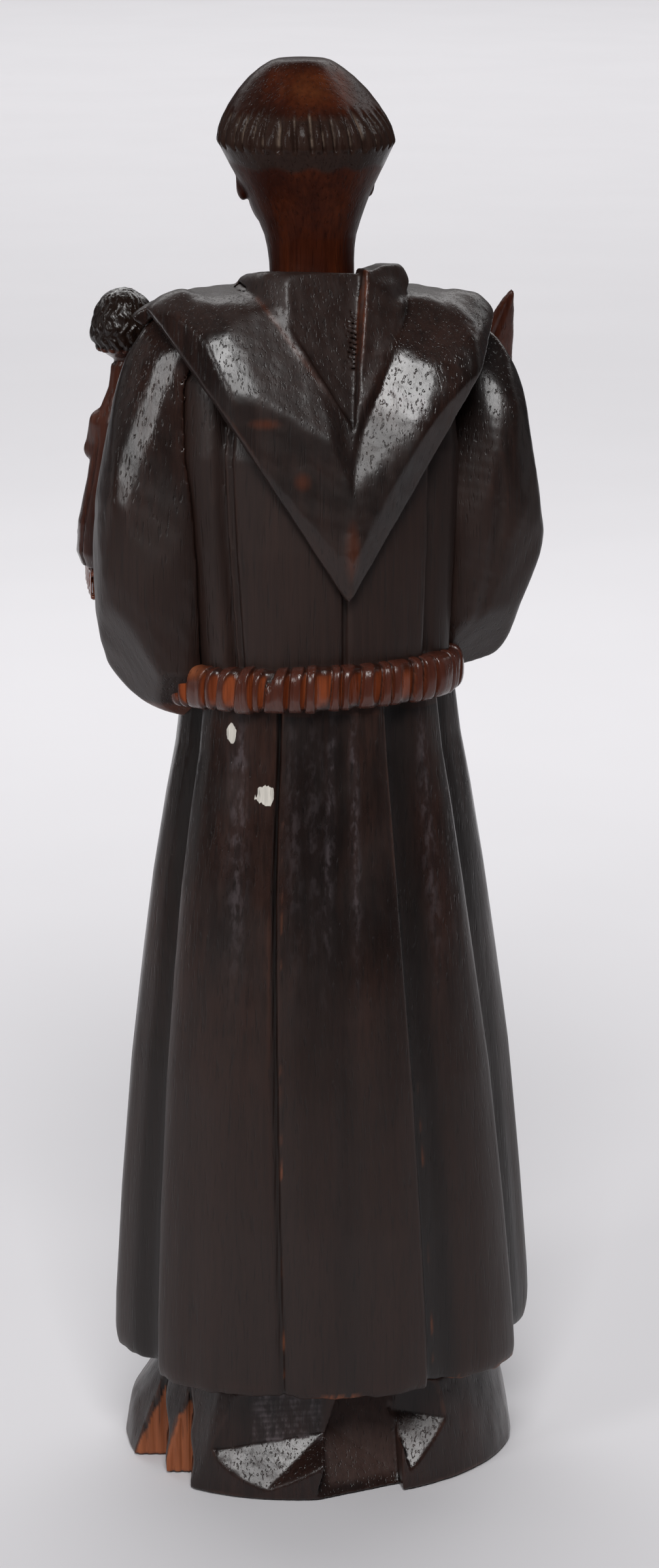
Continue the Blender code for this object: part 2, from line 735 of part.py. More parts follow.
drill(book, socket((CHILD_X - 2, CHILD_Y - 1, BOOK_Z + 2.3), (CHILD_X - 2, CHILD_Y - 1, BOOK_Z + 20), PEG_R + GAP))
drill(child, socket((CHILD_X - 2, CHILD_Y - 1, SEAT_Z - 5), (CHILD_X - 2, CHILD_Y - 1, PEG_TOP + 1.0), PEG_R + GAP))
book_dowel = rod("book_dowel", (41.5, -52.0, 240.7), (41.5, -52.0, 251.1), 1.8, RAW)
for block in (book, left_hand):
    drill(block, socket((41.5, -52.0, 240.4), (41.5, -52.0, 251.4), 1.8 + GAP))

pins = {
    "waist_dowel": ((1.6, 0, 207.0), (1.6, 0, 243.0), 5.0, (skirt, torso)),
    "base_dowel_left": ((22.0, 2.0, 14.0), (22.0, 2.0, 54.0), 4.0, (plinth, skirt)),
    "base_dowel_right": ((-22.0, 2.0, 14.0), (-22.0, 2.0, 54.0), 4.0, (plinth, skirt)),
    "left_shoulder_dowel": ((30.0, 0.0, 300.0), (52.0, 0.5, 300.0), DOWEL_R, (torso, left_sleeve)),
    "right_shoulder_dowel": ((-25.0, 0.0, 297.0), (-50.0, 0.5, 297.0), DOWEL_R, (torso, right_sleeve)),
}
for name, (start, end, radius, blocks) in pins.items():
    a, b = Vector(start), Vector(end)
    along = (b - a).normalized()
    rod(name, a, b, radius, RAW)
    for block in blocks:
        drill(block, socket(a - along * GAP, b + along * GAP, radius + GAP))



def set_origin(obj, point):
    """Puts a loose piece's origin on the line it slides along."""
    at = Vector(point) * MM
    obj.data.transform(Matrix.Translation(-at))
    obj.location = at


set_origin(child, (CHILD_X - 2.0, CHILD_Y - 1.0, SEAT_Z))
set_origin(lily, on_axis)
for obj in PARTS.objects:
    smooth(obj)
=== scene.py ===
"""Looks of the carved wooden friar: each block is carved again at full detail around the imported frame."""

import math

import bpy
import numpy as np
from mathutils import Matrix, Vector


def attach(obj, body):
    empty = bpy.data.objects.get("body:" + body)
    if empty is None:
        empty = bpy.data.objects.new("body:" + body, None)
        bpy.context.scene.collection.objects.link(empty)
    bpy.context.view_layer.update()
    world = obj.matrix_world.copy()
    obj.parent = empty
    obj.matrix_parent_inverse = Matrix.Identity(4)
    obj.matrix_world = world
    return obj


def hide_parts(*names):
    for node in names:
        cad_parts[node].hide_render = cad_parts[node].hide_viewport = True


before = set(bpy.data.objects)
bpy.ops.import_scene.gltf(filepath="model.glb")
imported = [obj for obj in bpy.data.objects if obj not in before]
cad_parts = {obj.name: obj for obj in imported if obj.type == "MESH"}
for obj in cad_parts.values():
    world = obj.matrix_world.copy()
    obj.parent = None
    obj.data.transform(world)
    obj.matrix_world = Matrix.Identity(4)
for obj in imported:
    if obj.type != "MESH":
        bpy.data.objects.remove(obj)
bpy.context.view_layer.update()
COARSE = 1.0
MM = 0.001

# ------------------------------------------------------------------ distance fields, in millimetres


def smin(a, b, k):
    h = np.maximum(k - np.abs(a - b), 0.0) / k
    return np.minimum(a, b) - h * h * k * 0.25


def smax(a, b, k):
    return -smin(-a, -b, k)


def ellipsoid(P, c, r, turn=None):
    q = [P[i] - c[i] for i in range(3)]
    if turn is not None:
        q = [sum(turn[j][i] * q[j] for j in range(3)) for i in range(3)]
    k0 = np.sqrt(sum((q[i] / r[i]) ** 2 for i in range(3)))
    k1 = np.sqrt(sum((q[i] / r[i] ** 2) ** 2 for i in range(3)))
    return k0 * (k0 - 1.0) / np.maximum(k1, 1e-6)


def capsule(P, a, b, ra, rb=None, flat=None):
    """A tapered rod; flat squeezes it along one direction by a factor."""
    rb = ra if rb is None else rb
    ab = [b[i] - a[i] for i in range(3)]
    q = [P[i] - a[i] for i in range(3)]
    t = np.clip(sum(q[i] * ab[i] for i in range(3)) / sum(v * v for v in ab), 0.0, 1.0)
    d = [q[i] - ab[i] * t for i in range(3)]
    if flat is not None:
        n, k = flat
        along = sum(d[i] * n[i] for i in range(3))
        d = [d[i] + n[i] * along * (k - 1.0) for i in range(3)]
    return np.sqrt(sum(v * v for v in d)) - (ra + (rb - ra) * t)


def chain(P, points, k=2.0, flat=None):
    """Rods joined end to end through (point, radius) stations."""
    out = None
    for (a, ra), (b, rb) in zip(points, points[1:]):
        d = capsule(P, a, b, ra, rb, flat)
        out = d if out is None else smin(out, d, k)
    return out


def plane(P, p, n):
    size = math.sqrt(sum(v * v for v in n))
    return sum((P[i] - p[i]) * (n[i] / size) for i in range(3))


def plane3(P, a, b, c, towards):
    """The plane through three points; positive on the side of the point towards."""
    a, b, c, t = (Vector(v) for v in (a, b, c, towards))
    n = (b - a).cross(c - a).normalized()
    if n.dot(t - a) < 0:
        n = -n
    return plane(P, a, n)


def block(P, c, half, r=0.0, turn=None):
    q = [P[i] - c[i] for i in range(3)]
    if turn is not None:
        q = [sum(turn[j][i] * q[j] for j in range(3)) for i in range(3)]
    w = [np.abs(q[i]) - half[i] + r for i in range(3)]
    outside = np.sqrt(sum(np.maximum(v, 0.0) ** 2 for v in w))
    return outside + np.minimum(np.maximum(np.maximum(w[0], w[1]), w[2]), 0.0) - r


def rows_at(rows, z):
    """Smoothly interpolated columns of a table over height."""
    zs = [r[0] for r in rows]
    return [np.interp(z, zs, [r[i] for r in rows]) for i in range(1, len(rows[0]))]


def wobble(P, size, seed, octaves=3):
    """Smooth deterministic unevenness of about unit height."""
    rng = np.random.default_rng(seed)
    out = 0.0
    for o in range(octaves):
        for _ in range(3):
            d = rng.normal(size=3)
            d *= 2 * math.pi / (size * 0.5**o) / np.linalg.norm(d)
            out = out + np.sin(P[0] * d[0] + P[1] * d[1] + P[2] * d[2] + rng.uniform(0, 6.28)) * 0.5**o
    return out / 3.0


def rot(axis, degrees):
    return Matrix.Rotation(math.radians(degrees), 3, axis)


def bearing_of(x, y):
    """Degrees from the middle of the back towards the figure's right hand."""
    return np.degrees(np.arctan2(-x, y))


# ------------------------------------------------------------------ meshes


def surface(field, low, high, h):
    """Vertices and quads of a field's zero surface on a regular grid."""
    h = h * COARSE
    axes = [np.arange(a, b + h, h, dtype=np.float32) for a, b in zip(low, high)]
    vol = np.empty([len(a) for a in axes], np.float32)
    for i in range(0, len(axes[0]), 16):
        vol[i : i + 16] = field(np.meshgrid(axes[0][i : i + 16], axes[1], axes[2], indexing="ij"))
    vol[[0, -1]] = np.maximum(vol[[0, -1]], h * 0.5)
    vol[:, [0, -1]] = np.maximum(vol[:, [0, -1]], h * 0.5)
    vol[:, :, [0, -1]] = np.maximum(vol[:, :, [0, -1]], h * 0.5)
    inside = vol < 0
    n = [s - 1 for s in vol.shape]
    count = np.zeros(n, np.int8)
    corners = [(i, j, k) for i in (0, 1) for j in (0, 1) for k in (0, 1)]
    for i, j, k in corners:
        count += inside[i : i + n[0], j : j + n[1], k : k + n[2]]
    cells = np.argwhere((count > 0) & (count < 8))
    ids = np.full(n, -1, np.int64)
    ids[tuple(cells.T)] = np.arange(len(cells))
    value = {c: vol[cells[:, 0] + c[0], cells[:, 1] + c[1], cells[:, 2] + c[2]] for c in corners}
    total, hits = np.zeros((len(cells), 3)), np.zeros(len(cells))
    for a in corners:
        for axis in range(3):
            if a[axis]:
                continue
            b = tuple(1 if i == axis else a[i] for i in range(3))
            va, vb = value[a], value[b]
            cross = (va < 0) != (vb < 0)
            t = np.where(cross, va / np.where(va == vb, 1.0, va - vb), 0.0)
            point = np.tile(np.array(a, float), (len(cells), 1))
            point[:, axis] += t
            total += point * cross[:, None]
            hits += cross
    verts = (cells + total / hits[:, None]) * h + np.array([a[0] for a in axes])
    quads = []
    for axis in range(3):
        u, v = (axis + 1) % 3, (axis + 2) % 3
        near = [slice(None)] * 3
        far = [slice(None)] * 3
        near[axis], far[axis] = slice(0, -1), slice(1, None)
        here, there = inside[tuple(near)], inside[tuple(far)]
        edges = np.argwhere(here != there)
        keep = (edges[:, u] > 0) & (edges[:, v] > 0) & (edges[:, u] < n[u]) & (edges[:, v] < n[v])
        edges = edges[keep]

        def cell(du, dv):
            e = edges.copy()
            e[:, u] -= du
            e[:, v] -= dv
            return ids[tuple(e.T)]

        q = np.stack([cell(1, 1), cell(0, 1), cell(0, 0), cell(1, 0)], 1)
        flip = ~here[tuple(edges.T)]
        q[flip] = q[flip][:, ::-1]
        quads.append(q)
    return verts, np.concatenate(quads)


def make(name, verts, faces, body, nodes, mat, masks=None):
    """A piece of the object from millimetre vertices and quads."""
    mesh = bpy.data.meshes.new(name)
    verts = np.asarray(verts, float)
    faces = np.asarray(faces)
    mesh.vertices.add(len(verts))
    mesh.vertices.foreach_set("co", (verts * MM).astype(np.float32).ravel())
    mesh.loops.add(faces.size)
    mesh.loops.foreach_set("vertex_index", faces.astype(np.int32).ravel())
    mesh.polygons.add(len(faces))
    mesh.polygons.foreach_set("loop_start", np.arange(0, faces.size, faces.shape[1], dtype=np.int32))
    mesh.update(calc_edges=True)
    mesh.validate()
    mesh.shade_smooth()
    normals = np.empty(len(mesh.vertices) * 3, np.float32)
    mesh.vertices.foreach_get("normal", normals)
    normals = normals.reshape(-1, 3)
    bend = curvature(mesh, verts, normals)
    put(mesh, "ridge", np.clip(bend * 1.0, 0, 1))
    put(mesh, "hollow", np.clip(-bend * 1.0, 0, 1))
    for key, field in (masks or {}).items():
        put(mesh, key, np.clip(field(verts.T, normals.T), 0, 1))
    obj = bpy.data.objects.new(name, mesh)
    bpy.context.scene.collection.objects.link(obj)
    mesh.materials.append(mat)
    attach(obj, body)
    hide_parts(*nodes)
    return obj


def curvature(mesh, verts, normals, rounds=3):
    """Convex positive, hollow negative, from each vertex against its smoothed surroundings."""
    e = np.empty(len(mesh.edges) * 2, np.int32)
    mesh.edges.foreach_get("vertices", e)
    e = e.reshape(-1, 2)
    degree = np.bincount(e.ravel(), minlength=len(verts)).astype(float)
    near = verts.copy()
    for _ in range(rounds):
        total = np.zeros_like(near)
        for axis in range(3):
            total[:, axis] = np.bincount(e[:, 0], near[e[:, 1], axis], len(verts)) + np.bincount(e[:, 1], near[e[:, 0], axis], len(verts))
        near = total / np.maximum(degree, 1)[:, None]
    bend = np.einsum("ij,ij->i", verts - near, normals)
    for _ in range(2):
        s = np.bincount(e[:, 0], bend[e[:, 1]], len(verts)) + np.bincount(e[:, 1], bend[e[:, 0]], len(verts))
        bend = 0.5 * bend + 0.5 * s / np.maximum(degree, 1)
    return bend * 4.0


def put(mesh, name, values):
    layer = mesh.attributes.new(name, "FLOAT", "POINT")
    layer.data.foreach_set("value", np.asarray(values, np.float32))


def carved(name, field, low, high, h, body, nodes, mat, masks=None):
    verts, faces = surface(field, low, high, h)
    return make(name, verts, faces, body, nodes, mat, masks)


def lofted(rings, close_low=True, close_high=True):
    """Vertices and quads through rings of equal count, ends closed by shrinking rings."""
    rings = [np.asarray(r, float) for r in rings]
    for first in (True, False):
        if not (close_low if first else close_high):
            continue
        edge = rings[0] if first else rings[-1]
        middle = edge.mean(0)
        extra = [middle + (edge - middle) * s for s in (0.8, 0.4, 0.02)]
        rings = extra[::-1] + rings if first else rings + extra
    n = len(rings[0])
    verts = np.concatenate(rings)
    i = np.arange(n)
    faces = []
    for k in range(len(rings) - 1):
        a, b = k * n, (k + 1) * n
        faces.append(np.stack([a + i, a + (i + 1) % n, b + (i + 1) % n, b + i], 1))
    faces = np.concatenate(faces)
    base, top = len(rings) * n, len(rings) * n + 1
    verts = np.concatenate([verts, rings[0].mean(0)[None], rings[-1].mean(0)[None]])
    last = (len(rings) - 1) * n
    j = np.arange(0, n, 2)
    fans = [
        np.stack([np.full(len(j), base), (j + 2) % n, (j + 1) % n, j], 1),
        np.stack([np.full(len(j), top), last + j, last + (j + 1) % n, last + (j + 2) % n], 1),
    ]
    return verts, np.concatenate([faces, *fans])


# ------------------------------------------------------------------ materials


class Nodes:
    """Short names for the shader nodes used below."""

    def __init__(self, name):
        self.mat = bpy.data.materials.new(name)
        self.mat.use_nodes = True
        self.tree = self.mat.node_tree
        self.shader = self.tree.nodes["Principled BSDF"]
        self.coord = self.tree.nodes.new("ShaderNodeTexCoord")

    def link(self, out, socket):
        if isinstance(out, (int, float)):
            socket.default_value = out
        elif isinstance(out, tuple):
            socket.default_value = (*out, 1.0) if len(out) == 3 else out
        else:
            self.tree.links.new(out, socket)

    def noise(self, scale, stretch=(1, 1, 1), detail=3.0, rough=0.55, shift=0.0, distort=0.0):
        m = self.tree.nodes.new("ShaderNodeMapping")
        m.inputs["Scale"].default_value = tuple(scale * s for s in stretch)
        m.inputs["Location"].default_value = (shift, shift * 0.7, shift * 1.3)
        self.tree.links.new(self.coord.outputs["Object"], m.inputs["Vector"])
        n = self.tree.nodes.new("ShaderNodeTexNoise")
        n.inputs["Scale"].default_value = 1.0
        n.inputs["Detail"].default_value = detail
        n.inputs["Roughness"].default_value = rough
        n.inputs["Distortion"].default_value = distort
        self.tree.links.new(m.outputs["Vector"], n.inputs["Vector"])
        return n.outputs["Fac"]

    def attribute(self, name):
        a = self.tree.nodes.new("ShaderNodeAttribute")
        a.attribute_name = name
        return a.outputs["Fac"]

    def ramp(self, value, low, high, to_low=0.0, to_high=1.0):
        n = self.tree.nodes.new("ShaderNodeMapRange")
        n.interpolation_type = "SMOOTHSTEP"
        self.link(value, n.inputs["Value"])
        n.inputs["From Min"].default_value = low
        n.inputs["From Max"].default_value = high
        n.inputs["To Min"].default_value = to_low
        n.inputs["To Max"].default_value = to_high
        return n.outputs["Result"]

    def math(self, op, a, b=0.0):
        n = self.tree.nodes.new("ShaderNodeMath")
        n.operation = op
        self.link(a, n.inputs[0])
        self.link(b, n.inputs[1])
        return n.outputs[0]

    def mix(self, factor, a, b, mode="MIX"):
        n = self.tree.nodes.new("ShaderNodeMix")
        n.data_type = "RGBA"
        n.blend_type = mode
        self.link(factor, n.inputs["Factor"])
        self.link(a, n.inputs["A"])
        self.link(b, n.inputs["B"])
        return n.outputs["Result"]

    def bump(self, height, strength, distance, under=None):
        n = self.tree.nodes.new("ShaderNodeBump")
        n.inputs["Strength"].default_value = strength
        n.inputs["Distance"].default_value = distance
        self.link(height, n.inputs["Height"])
        if under is not None:
            self.tree.links.new(under, n.inputs["Normal"])
        return n.outputs["Normal"]


def srgb(r, g, b):
    return tuple(((v / 255 + 0.055) / 1.055) ** 2.4 if v > 10 else v / 255 / 12.92 for v in (r, g, b))


def wood(name, deep, warm, worn, gloss=(0.20, 0.42), seed=0.0, wear=1.0, coat=0.40, shine=0.30, masks=()):
    """Stained, varnished and handled wood with upright grain.

    deep and warm are the stain's two tones, worn shows on rubbed ridges, and each entry of masks
    is an attribute name with the colour and roughness that it brings in."""
    n = Nodes(name)
    grain = n.noise(1.0, (900, 900, 38), 4.0, 0.6, seed)
    broad = n.noise(1.0, (70, 70, 12), 3.0, 0.55, seed + 3)
    patch = n.noise(30.0, (1, 1, 0.7), 4.0, 0.6, seed + 7)
    pores = n.ramp(n.noise(1.0, (1500, 1500, 95), 1.5, 0.5, seed + 11), 0.58, 0.72)
    colour = n.mix(n.ramp(broad, 0.36, 0.70), deep, warm)
    colour = n.mix(n.ramp(grain, 0.35, 0.75, 0.0, 0.6), colour, tuple(v * 0.45 for v in deep))
    colour = n.mix(n.ramp(patch, 0.50, 0.78, 0.0, 0.25), colour, tuple(w * 1.35 for w in warm))
    rub = n.math("MULTIPLY", n.ramp(n.attribute("ridge"), 0.12, 0.6), n.ramp(patch, 0.42, 0.62, 0.05, 1.0))
    colour = n.mix(n.math("MULTIPLY", rub, 0.5 * wear), colour, worn)
    # painted shade: hollows are darkened towards the deep stain to deepen the folds
    colour = n.mix(n.ramp(n.attribute("hollow"), 0.05, 0.6, 0.0, 0.8), colour, tuple(v * 0.2 for v in deep))
    rough = n.ramp(patch, 0.34, 0.66, gloss[0], gloss[1])
    speckle = n.ramp(n.noise(1.0, (520, 520, 210), 3.0, 0.6, seed + 23), 0.44, 0.66, 0.12, 1.0)
    for key, tone, roughness in masks:
        here = n.attribute(key)
        # the painted sheen mask is broken into speckles
        if key == "painted_sheen":
            here = n.math("MULTIPLY", here, speckle)
        if key == "paper":
            here = n.ramp(here, 0.68, 0.76)
        if tone is not None:
            toned = n.mix(n.ramp(grain, 0.3, 0.75, 0.0, 0.5), tone, tuple(v * 0.5 for v in tone))
            colour = n.mix(here, colour, toned)
        blend = n.tree.nodes.new("ShaderNodeMix")
        n.link(here, blend.inputs["Factor"])
        n.link(rough, blend.inputs["A"])
        blend.inputs["B"].default_value = roughness
        rough = blend.outputs["Result"]
    colour = n.mix(n.math("MULTIPLY", pores, 0.4), colour, tuple(v * 0.3 for v in deep))
    n.link(colour, n.shader.inputs["Base Color"])
    n.link(rough, n.shader.inputs["Roughness"])
    n.shader.inputs["Specular IOR Level"].default_value = shine
    n.shader.inputs["Coat Weight"].default_value = coat
    n.shader.inputs["Coat Roughness"].default_value = 0.18
    cuts = n.noise(170.0, (1, 1, 0.35), 2.0, 0.5, seed + 17)
    normal = n.bump(cuts, 0.20, 0.0010)
    normal = n.bump(grain, 0.20, 0.00040, normal)
    normal = n.bump(n.math("SUBTRACT", 1.0, pores), 0.35, 0.00025, normal)
    n.link(normal, n.shader.inputs["Normal"])
    n.tree.links.new(normal, n.shader.inputs["Coat Normal"])
    return n.mat


RAW = srgb(150, 84, 50)
# In the habit and plinth woods the grey-violet mask colour is a painted sheen; on the habit the near-black one is
# painted shade.
HABIT = wood("habit_wood", srgb(25, 15, 12), srgb(50, 31, 25), srgb(76, 46, 34), (0.22, 0.42), coat=0.17, shine=0.38, masks=(("painted_sheen", srgb(104, 94, 97), 0.30), ("matte", srgb(39, 22, 16), 0.60), ("dark", srgb(15, 9, 7), 0.42), ("raw", RAW, 0.7), ("rust", srgb(98, 48, 26), 0.34), ("paper", srgb(222, 216, 206), 0.8)))
PLINTH = wood("plinth_wood", srgb(32, 20, 17), srgb(46, 28, 23), srgb(80, 48, 35), (0.24, 0.42), 2.0, coat=0.08, shine=0.36, masks=(("painted_sheen", srgb(96, 86, 88), 0.34), ("matte", srgb(64, 44, 38), 0.55), ("raw", RAW, 0.72),))
# The pale mask colour is a painted soft highlight on the crown.
FLESH = wood("flesh_wood", srgb(48, 18, 9), srgb(82, 36, 16), srgb(104, 56, 32), (0.36, 0.50), 4.0, coat=0.02, shine=0.06, masks=(("dark", srgb(38, 21, 16), 0.34), ("pale", srgb(104, 58, 32), 0.36), ("hair", srgb(48, 34, 29), 0.22), ("dust", srgb(116, 100, 88), 0.50)))
# The near-black mask colour is painted shade in the cord's gaps and along its top and bottom edges.
CORD = wood("cord_wood", srgb(104, 46, 23), srgb(156, 77, 41), srgb(174, 102, 66), (0.16, 0.30), 6.0, coat=0.22, shine=0.40, masks=(("dark", srgb(34, 17, 12), 0.34), ("lay", srgb(82, 42, 31), 0.24), ("raw", RAW, 0.6),))
CHILD = wood("child_wood", srgb(46, 20, 13), srgb(80, 40, 26), srgb(110, 60, 40), seed=8.0, coat=0.2, shine=0.25, masks=(("hair", srgb(30, 19, 14), 0.26),))
LILY = wood("lily_wood", srgb(60, 28, 20), srgb(92, 50, 36), srgb(116, 66, 44), seed=10.0, coat=0.12, shine=0.25)
BARE = wood("bare_dowel_wood", srgb(120, 76, 48), srgb(160, 108, 70), srgb(182, 132, 92), (0.55, 0.75), 12.0, coat=0.0)

# ------------------------------------------------------------------ shared outlines (same dimensions as the frame)
TORSO_ROWS = (
    (229.3, 37.8, 32.1, 31.5, 1.7),
    (245.0, 38.6, 32.4, 31.0, 2.0),
    (270.0, 40.5, 32.0, 30.0, 2.6),
    (295.0, 42.0, 30.5, 28.0, 3.0),
    (315.0, 41.0, 25.0, 23.5, 3.4),
    (328.0, 33.0, 19.4, 18.5, 3.8),
    (339.0, 19.0, 15.0, 13.5, 4.0),
)
SKIRT_ROWS = (
    (31.6, 60.0, 50.5, 49.0, 0.0),
    (48.0, 59.4, 50.0, 48.5, 0.2),
    (80.0, 57.0, 47.8, 46.5, 0.6),
    (120.0, 53.2, 44.0, 43.0, 1.0),
    (151.0, 49.2, 40.3, 39.5, 1.4),
    (174.0, 46.0, 37.4, 36.8, 1.6),
    (197.0, 42.2, 34.6, 34.2, 1.6),
    (212.0, 39.3, 33.0, 32.6, 1.6),
    (229.0, 37.2, 31.7, 31.3, 1.6),
)
WAIST = 228.9
HEAD_X, HEAD_Y = 4.4, -4.0


def oval(P, rows, swell=0.0):
    """Distance to a block whose level sections are ovals."""
    a, back, front, cx = rows_at(rows, P[2])
    x, y = P[0] - cx, P[1]
    a, b = a + swell, np.where(y > 0, back, front) + swell
    k0 = np.sqrt((x / a) ** 2 + (y / b) ** 2)
    k1 = np.sqrt((x / a**2) ** 2 + (y / b**2) ** 2)
    return k0 * (k0 - 1.0) / np.maximum(k1, 1e-6)


# ------------------------------------------------------------------ skirt
# stations round the skirt: bearing at the waist and at the hem, height of the surface at the waist and at the hem
FOLDS = (
    (-104, -104, 0.2, 0.4), (-90, -92, 0.4, 0.6), (-80, -80, -0.6, -1.8), (-74.5, -72.5, -2.4, -5.6), (-71.5, -69, -2.7, -6.0),
    (-66.5, -61.5, 0.0, -0.4), (-60, -54, 0.8, 1.0), (-48, -40, 1.0, 1.3), (-34, -28, 0.3, 0.5), (-27.6, -21.9, -0.1, -0.1),
    (-26.3, -20.9, -1.5, -1.7), (-25.0, -19.8, -0.5, -0.6), (-16, -12, 0.1, 0.3), (-8, -7, 0.0, 0.0), (0, -2.6, -1.0, -1.1),
    (8, 6, 0.3, 0.6), (14, 13, 1.2, 1.6), (18.2, 18.6, 1.0, 1.2), (21.6, 22, -2.2, -3.2), (25.5, 26, -2.6, -3.0),
    (34, 35, 0.0, 0.2), (42, 45, 1.0, 1.3), (48.5, 54.5, 0.9, 0.9), (51.5, 58.5, 0.2, -0.2), (54.5, 62.5, -2.2, -4.0),
    (60, 70, -2.6, -5.2), (68, 79, -1.2, -2.0), (80, 91, 0.9, 2.2), (90, 99, 1.3, 3.4), (104, 110, 0.6, 1.8),
    (116, 118, -2.4, -3.2), (126, 128, 0.5, 0.8), (140, 140, 0.7, 1.4), (149, 147, -2.2, -3.0), (158, 156, 0.5, 0.9),
    (168, 166, 0.4, 0.6), (173, 172, -0.8, -1.0), (180, 180, 0.3, 0.4), (190, 192, 0.6, 1.0), (199, 202, -2.2, -3.0),
    (208, 211, 0.6, 1.2), (220, 222, 0.8, 1.4), (230, 233, -2.4, -3.2), (240, 243, 0.4, 0.8),
)


def skirt_offset(bearing, t):
    """Height of the folds above the plain oval; t runs from the waist to the hem."""
    f = np.array(FOLDS, float)
    xs = f[:, 0] + (f[:, 1] - f[:, 0]) * t
    ys = 1.25 * f[:, 2] + (f[:, 3] - 1.25 * f[:, 2]) * t**0.85
    xs = np.concatenate([xs[-3:] - 360, xs, xs[:3] + 360])
    ys = np.concatenate([ys[-3:], ys, ys[:3]])
    slope = np.diff(ys) / np.diff(xs)
    both = slope[1:] * slope[:-1] > 0
    m = np.concatenate([[0], np.where(both, 2 * slope[1:] * slope[:-1] / np.where(both, slope[1:] + slope[:-1], 1.0), 0.0), [0]])
    b = (np.asarray(bearing) + 104.0) % 360.0 - 104.0
    i = np.clip(np.searchsorted(xs, b) - 1, 0, len(xs) - 2)
    h = xs[i + 1] - xs[i]
    u = (b - xs[i]) / h
    return ys[i] * (1 + 2 * u) * (1 - u) ** 2 + m[i] * h * u * (1 - u) ** 2 + ys[i + 1] * u * u * (3 - 2 * u) + m[i + 1] * h * u * u * (u - 1)


HEM = ((-180, 40.5), (-160, 40), (-142, 36), (-120, 34.5), (-95, 34.2), (-70, 33.2), (-61, 32.6), (-40, 32.8), (-21, 33.2), (-1, 31.9), (22, 33.2), (30, 32.4), (58, 31.8), (70, 33.5), (84, 34.2), (92, 37.6), (99, 39.8), (108, 39.8), (120, 38.0), (142, 36.5), (160, 40), (180, 40.5))


def skirt_mesh():
    n = int(560 / COARSE) // 2 * 2
    m = int(140 / COARSE)
    bearing = np.linspace(0, 360, n, endpoint=False)
    hem = np.interp((bearing + 180) % 360 - 180, [h[0] for h in HEM], [h[1] for h in HEM])
    chip = 0.5 * np.maximum(np.sin(np.radians(bearing * 17 + 30)), 0.3) * np.sin(np.radians(bearing * 53)) + 0.3 * np.sin(np.radians(bearing * 29 + 40))
    hem = hem + 0.55 * chip
    r = np.radians(bearing)
    rings = []
    levels = [(0.0, -3.4, 1.4), (0.0, -1.3, 0.0), (0.0, -0.4, 0.25)] + [(s, 0.0, 0.0) for s in np.linspace(0.004, 1, m)]
    for s, inset, lift in levels:
        z = hem + (WAIST - hem) * s + lift
        a, back, front, cx = rows_at(SKIRT_ROWS, z)
        off = skirt_offset(bearing, 1.0 - s) + inset
        knife = 0.08 * np.sin(np.radians(bearing * 37) + 0.8 * np.sin(z / 31)) * np.sin(z / 47 + bearing / 31)
        edge = -0.9 * np.clip((5.0 - (z - hem)) / 5.0, 0, 1) ** 2
        off = off + knife + edge
        b = np.where(np.cos(r) >= 0, back, front)
        rings.append(np.stack([cx - (a + off) * np.sin(r), (b + off) * np.cos(r), z], 1))
    return lofted(rings)


def spot(P, c, r):
    return np.clip(1.6 - np.sqrt(sum(((P[i] - c[i]) / r[i]) ** 2 for i in range(3))), 0, 1)


def skirt_raw(P, N):
    out = spot(P, (7.0, 50.0, 32.4), (6.0, 6.0, 0.9))
    out = np.maximum(out, spot(P, (-46.0, 27.0, 32.0), (6.0, 9.0, 0.9)))
    out = np.maximum(out, spot(P, (-30.0, 42.0, 32.4), (3.0, 5.0, 0.5)))
    rough = np.clip(0.5 + wobble(P, 1.6, 3), 0, 1)
    # scraped line in the bottom of the groove left of the middle and on the one right of it
    t = np.clip((WAIST - P[2]) / (WAIST - 32.0), 0, 1)
    b = bearing_of(P[0] - 1.0, P[1] * 1.17)
    line = np.exp(-(((b - (-25.4 + 5.6 * t)) / 0.35) ** 2)) + 0.8 * np.exp(-(((b - (24.6 + 0.6 * t)) / 0.35) ** 2)) * (t > 0.55) + np.exp(-(((b - (-70.5 + 3.4 * t)) / 0.5) ** 2)) * (t > 0.6)
    flecks = np.clip(wobble((P[0] * 0, P[1] * 0, P[2]), 9, 4) - 0.15, 0, 1)
    return np.maximum(out * rough, 0.55 * line * flecks)


def skirt_paper(P, N):
    jag = 0.35 * wobble(P, 2.2, 5)
    one = spot(P, (30.3, 24.4, 219.6), (1.3, 9.0, 2.9)) + jag
    two = spot(P, (22.0, 30.6, 203.2), (2.9, 9.0, 2.5)) + jag
    return np.clip(np.maximum(one, two), 0, 1)


def skirt_matte(P, N):
    return 0.85 * np.clip((172.0 - P[2]) / 70.0, 0, 1)


def skirt_painted_shade(P, N):
    """Painted shade: the valleys between the folds are darkened, more so towards the hem."""
    a, back, front, cx = rows_at(SKIRT_ROWS, P[2])
    b = bearing_of((P[0] - cx) / a, P[1] / np.where(P[1] >= 0, back, front))
    t = np.clip((WAIST - P[2]) / (WAIST - 33.0), 0, 1)
    level = np.round(t * 40).astype(int)
    out = np.zeros(len(b))
    for k in range(41):
        here = level == k
        if here.any():
            out[here] = skirt_offset(b[here], k / 40.0)
    return np.clip(0.50 + 0.25 * t, 0, 1) * np.clip((-out - 0.35) / 1.8, 0, 1)


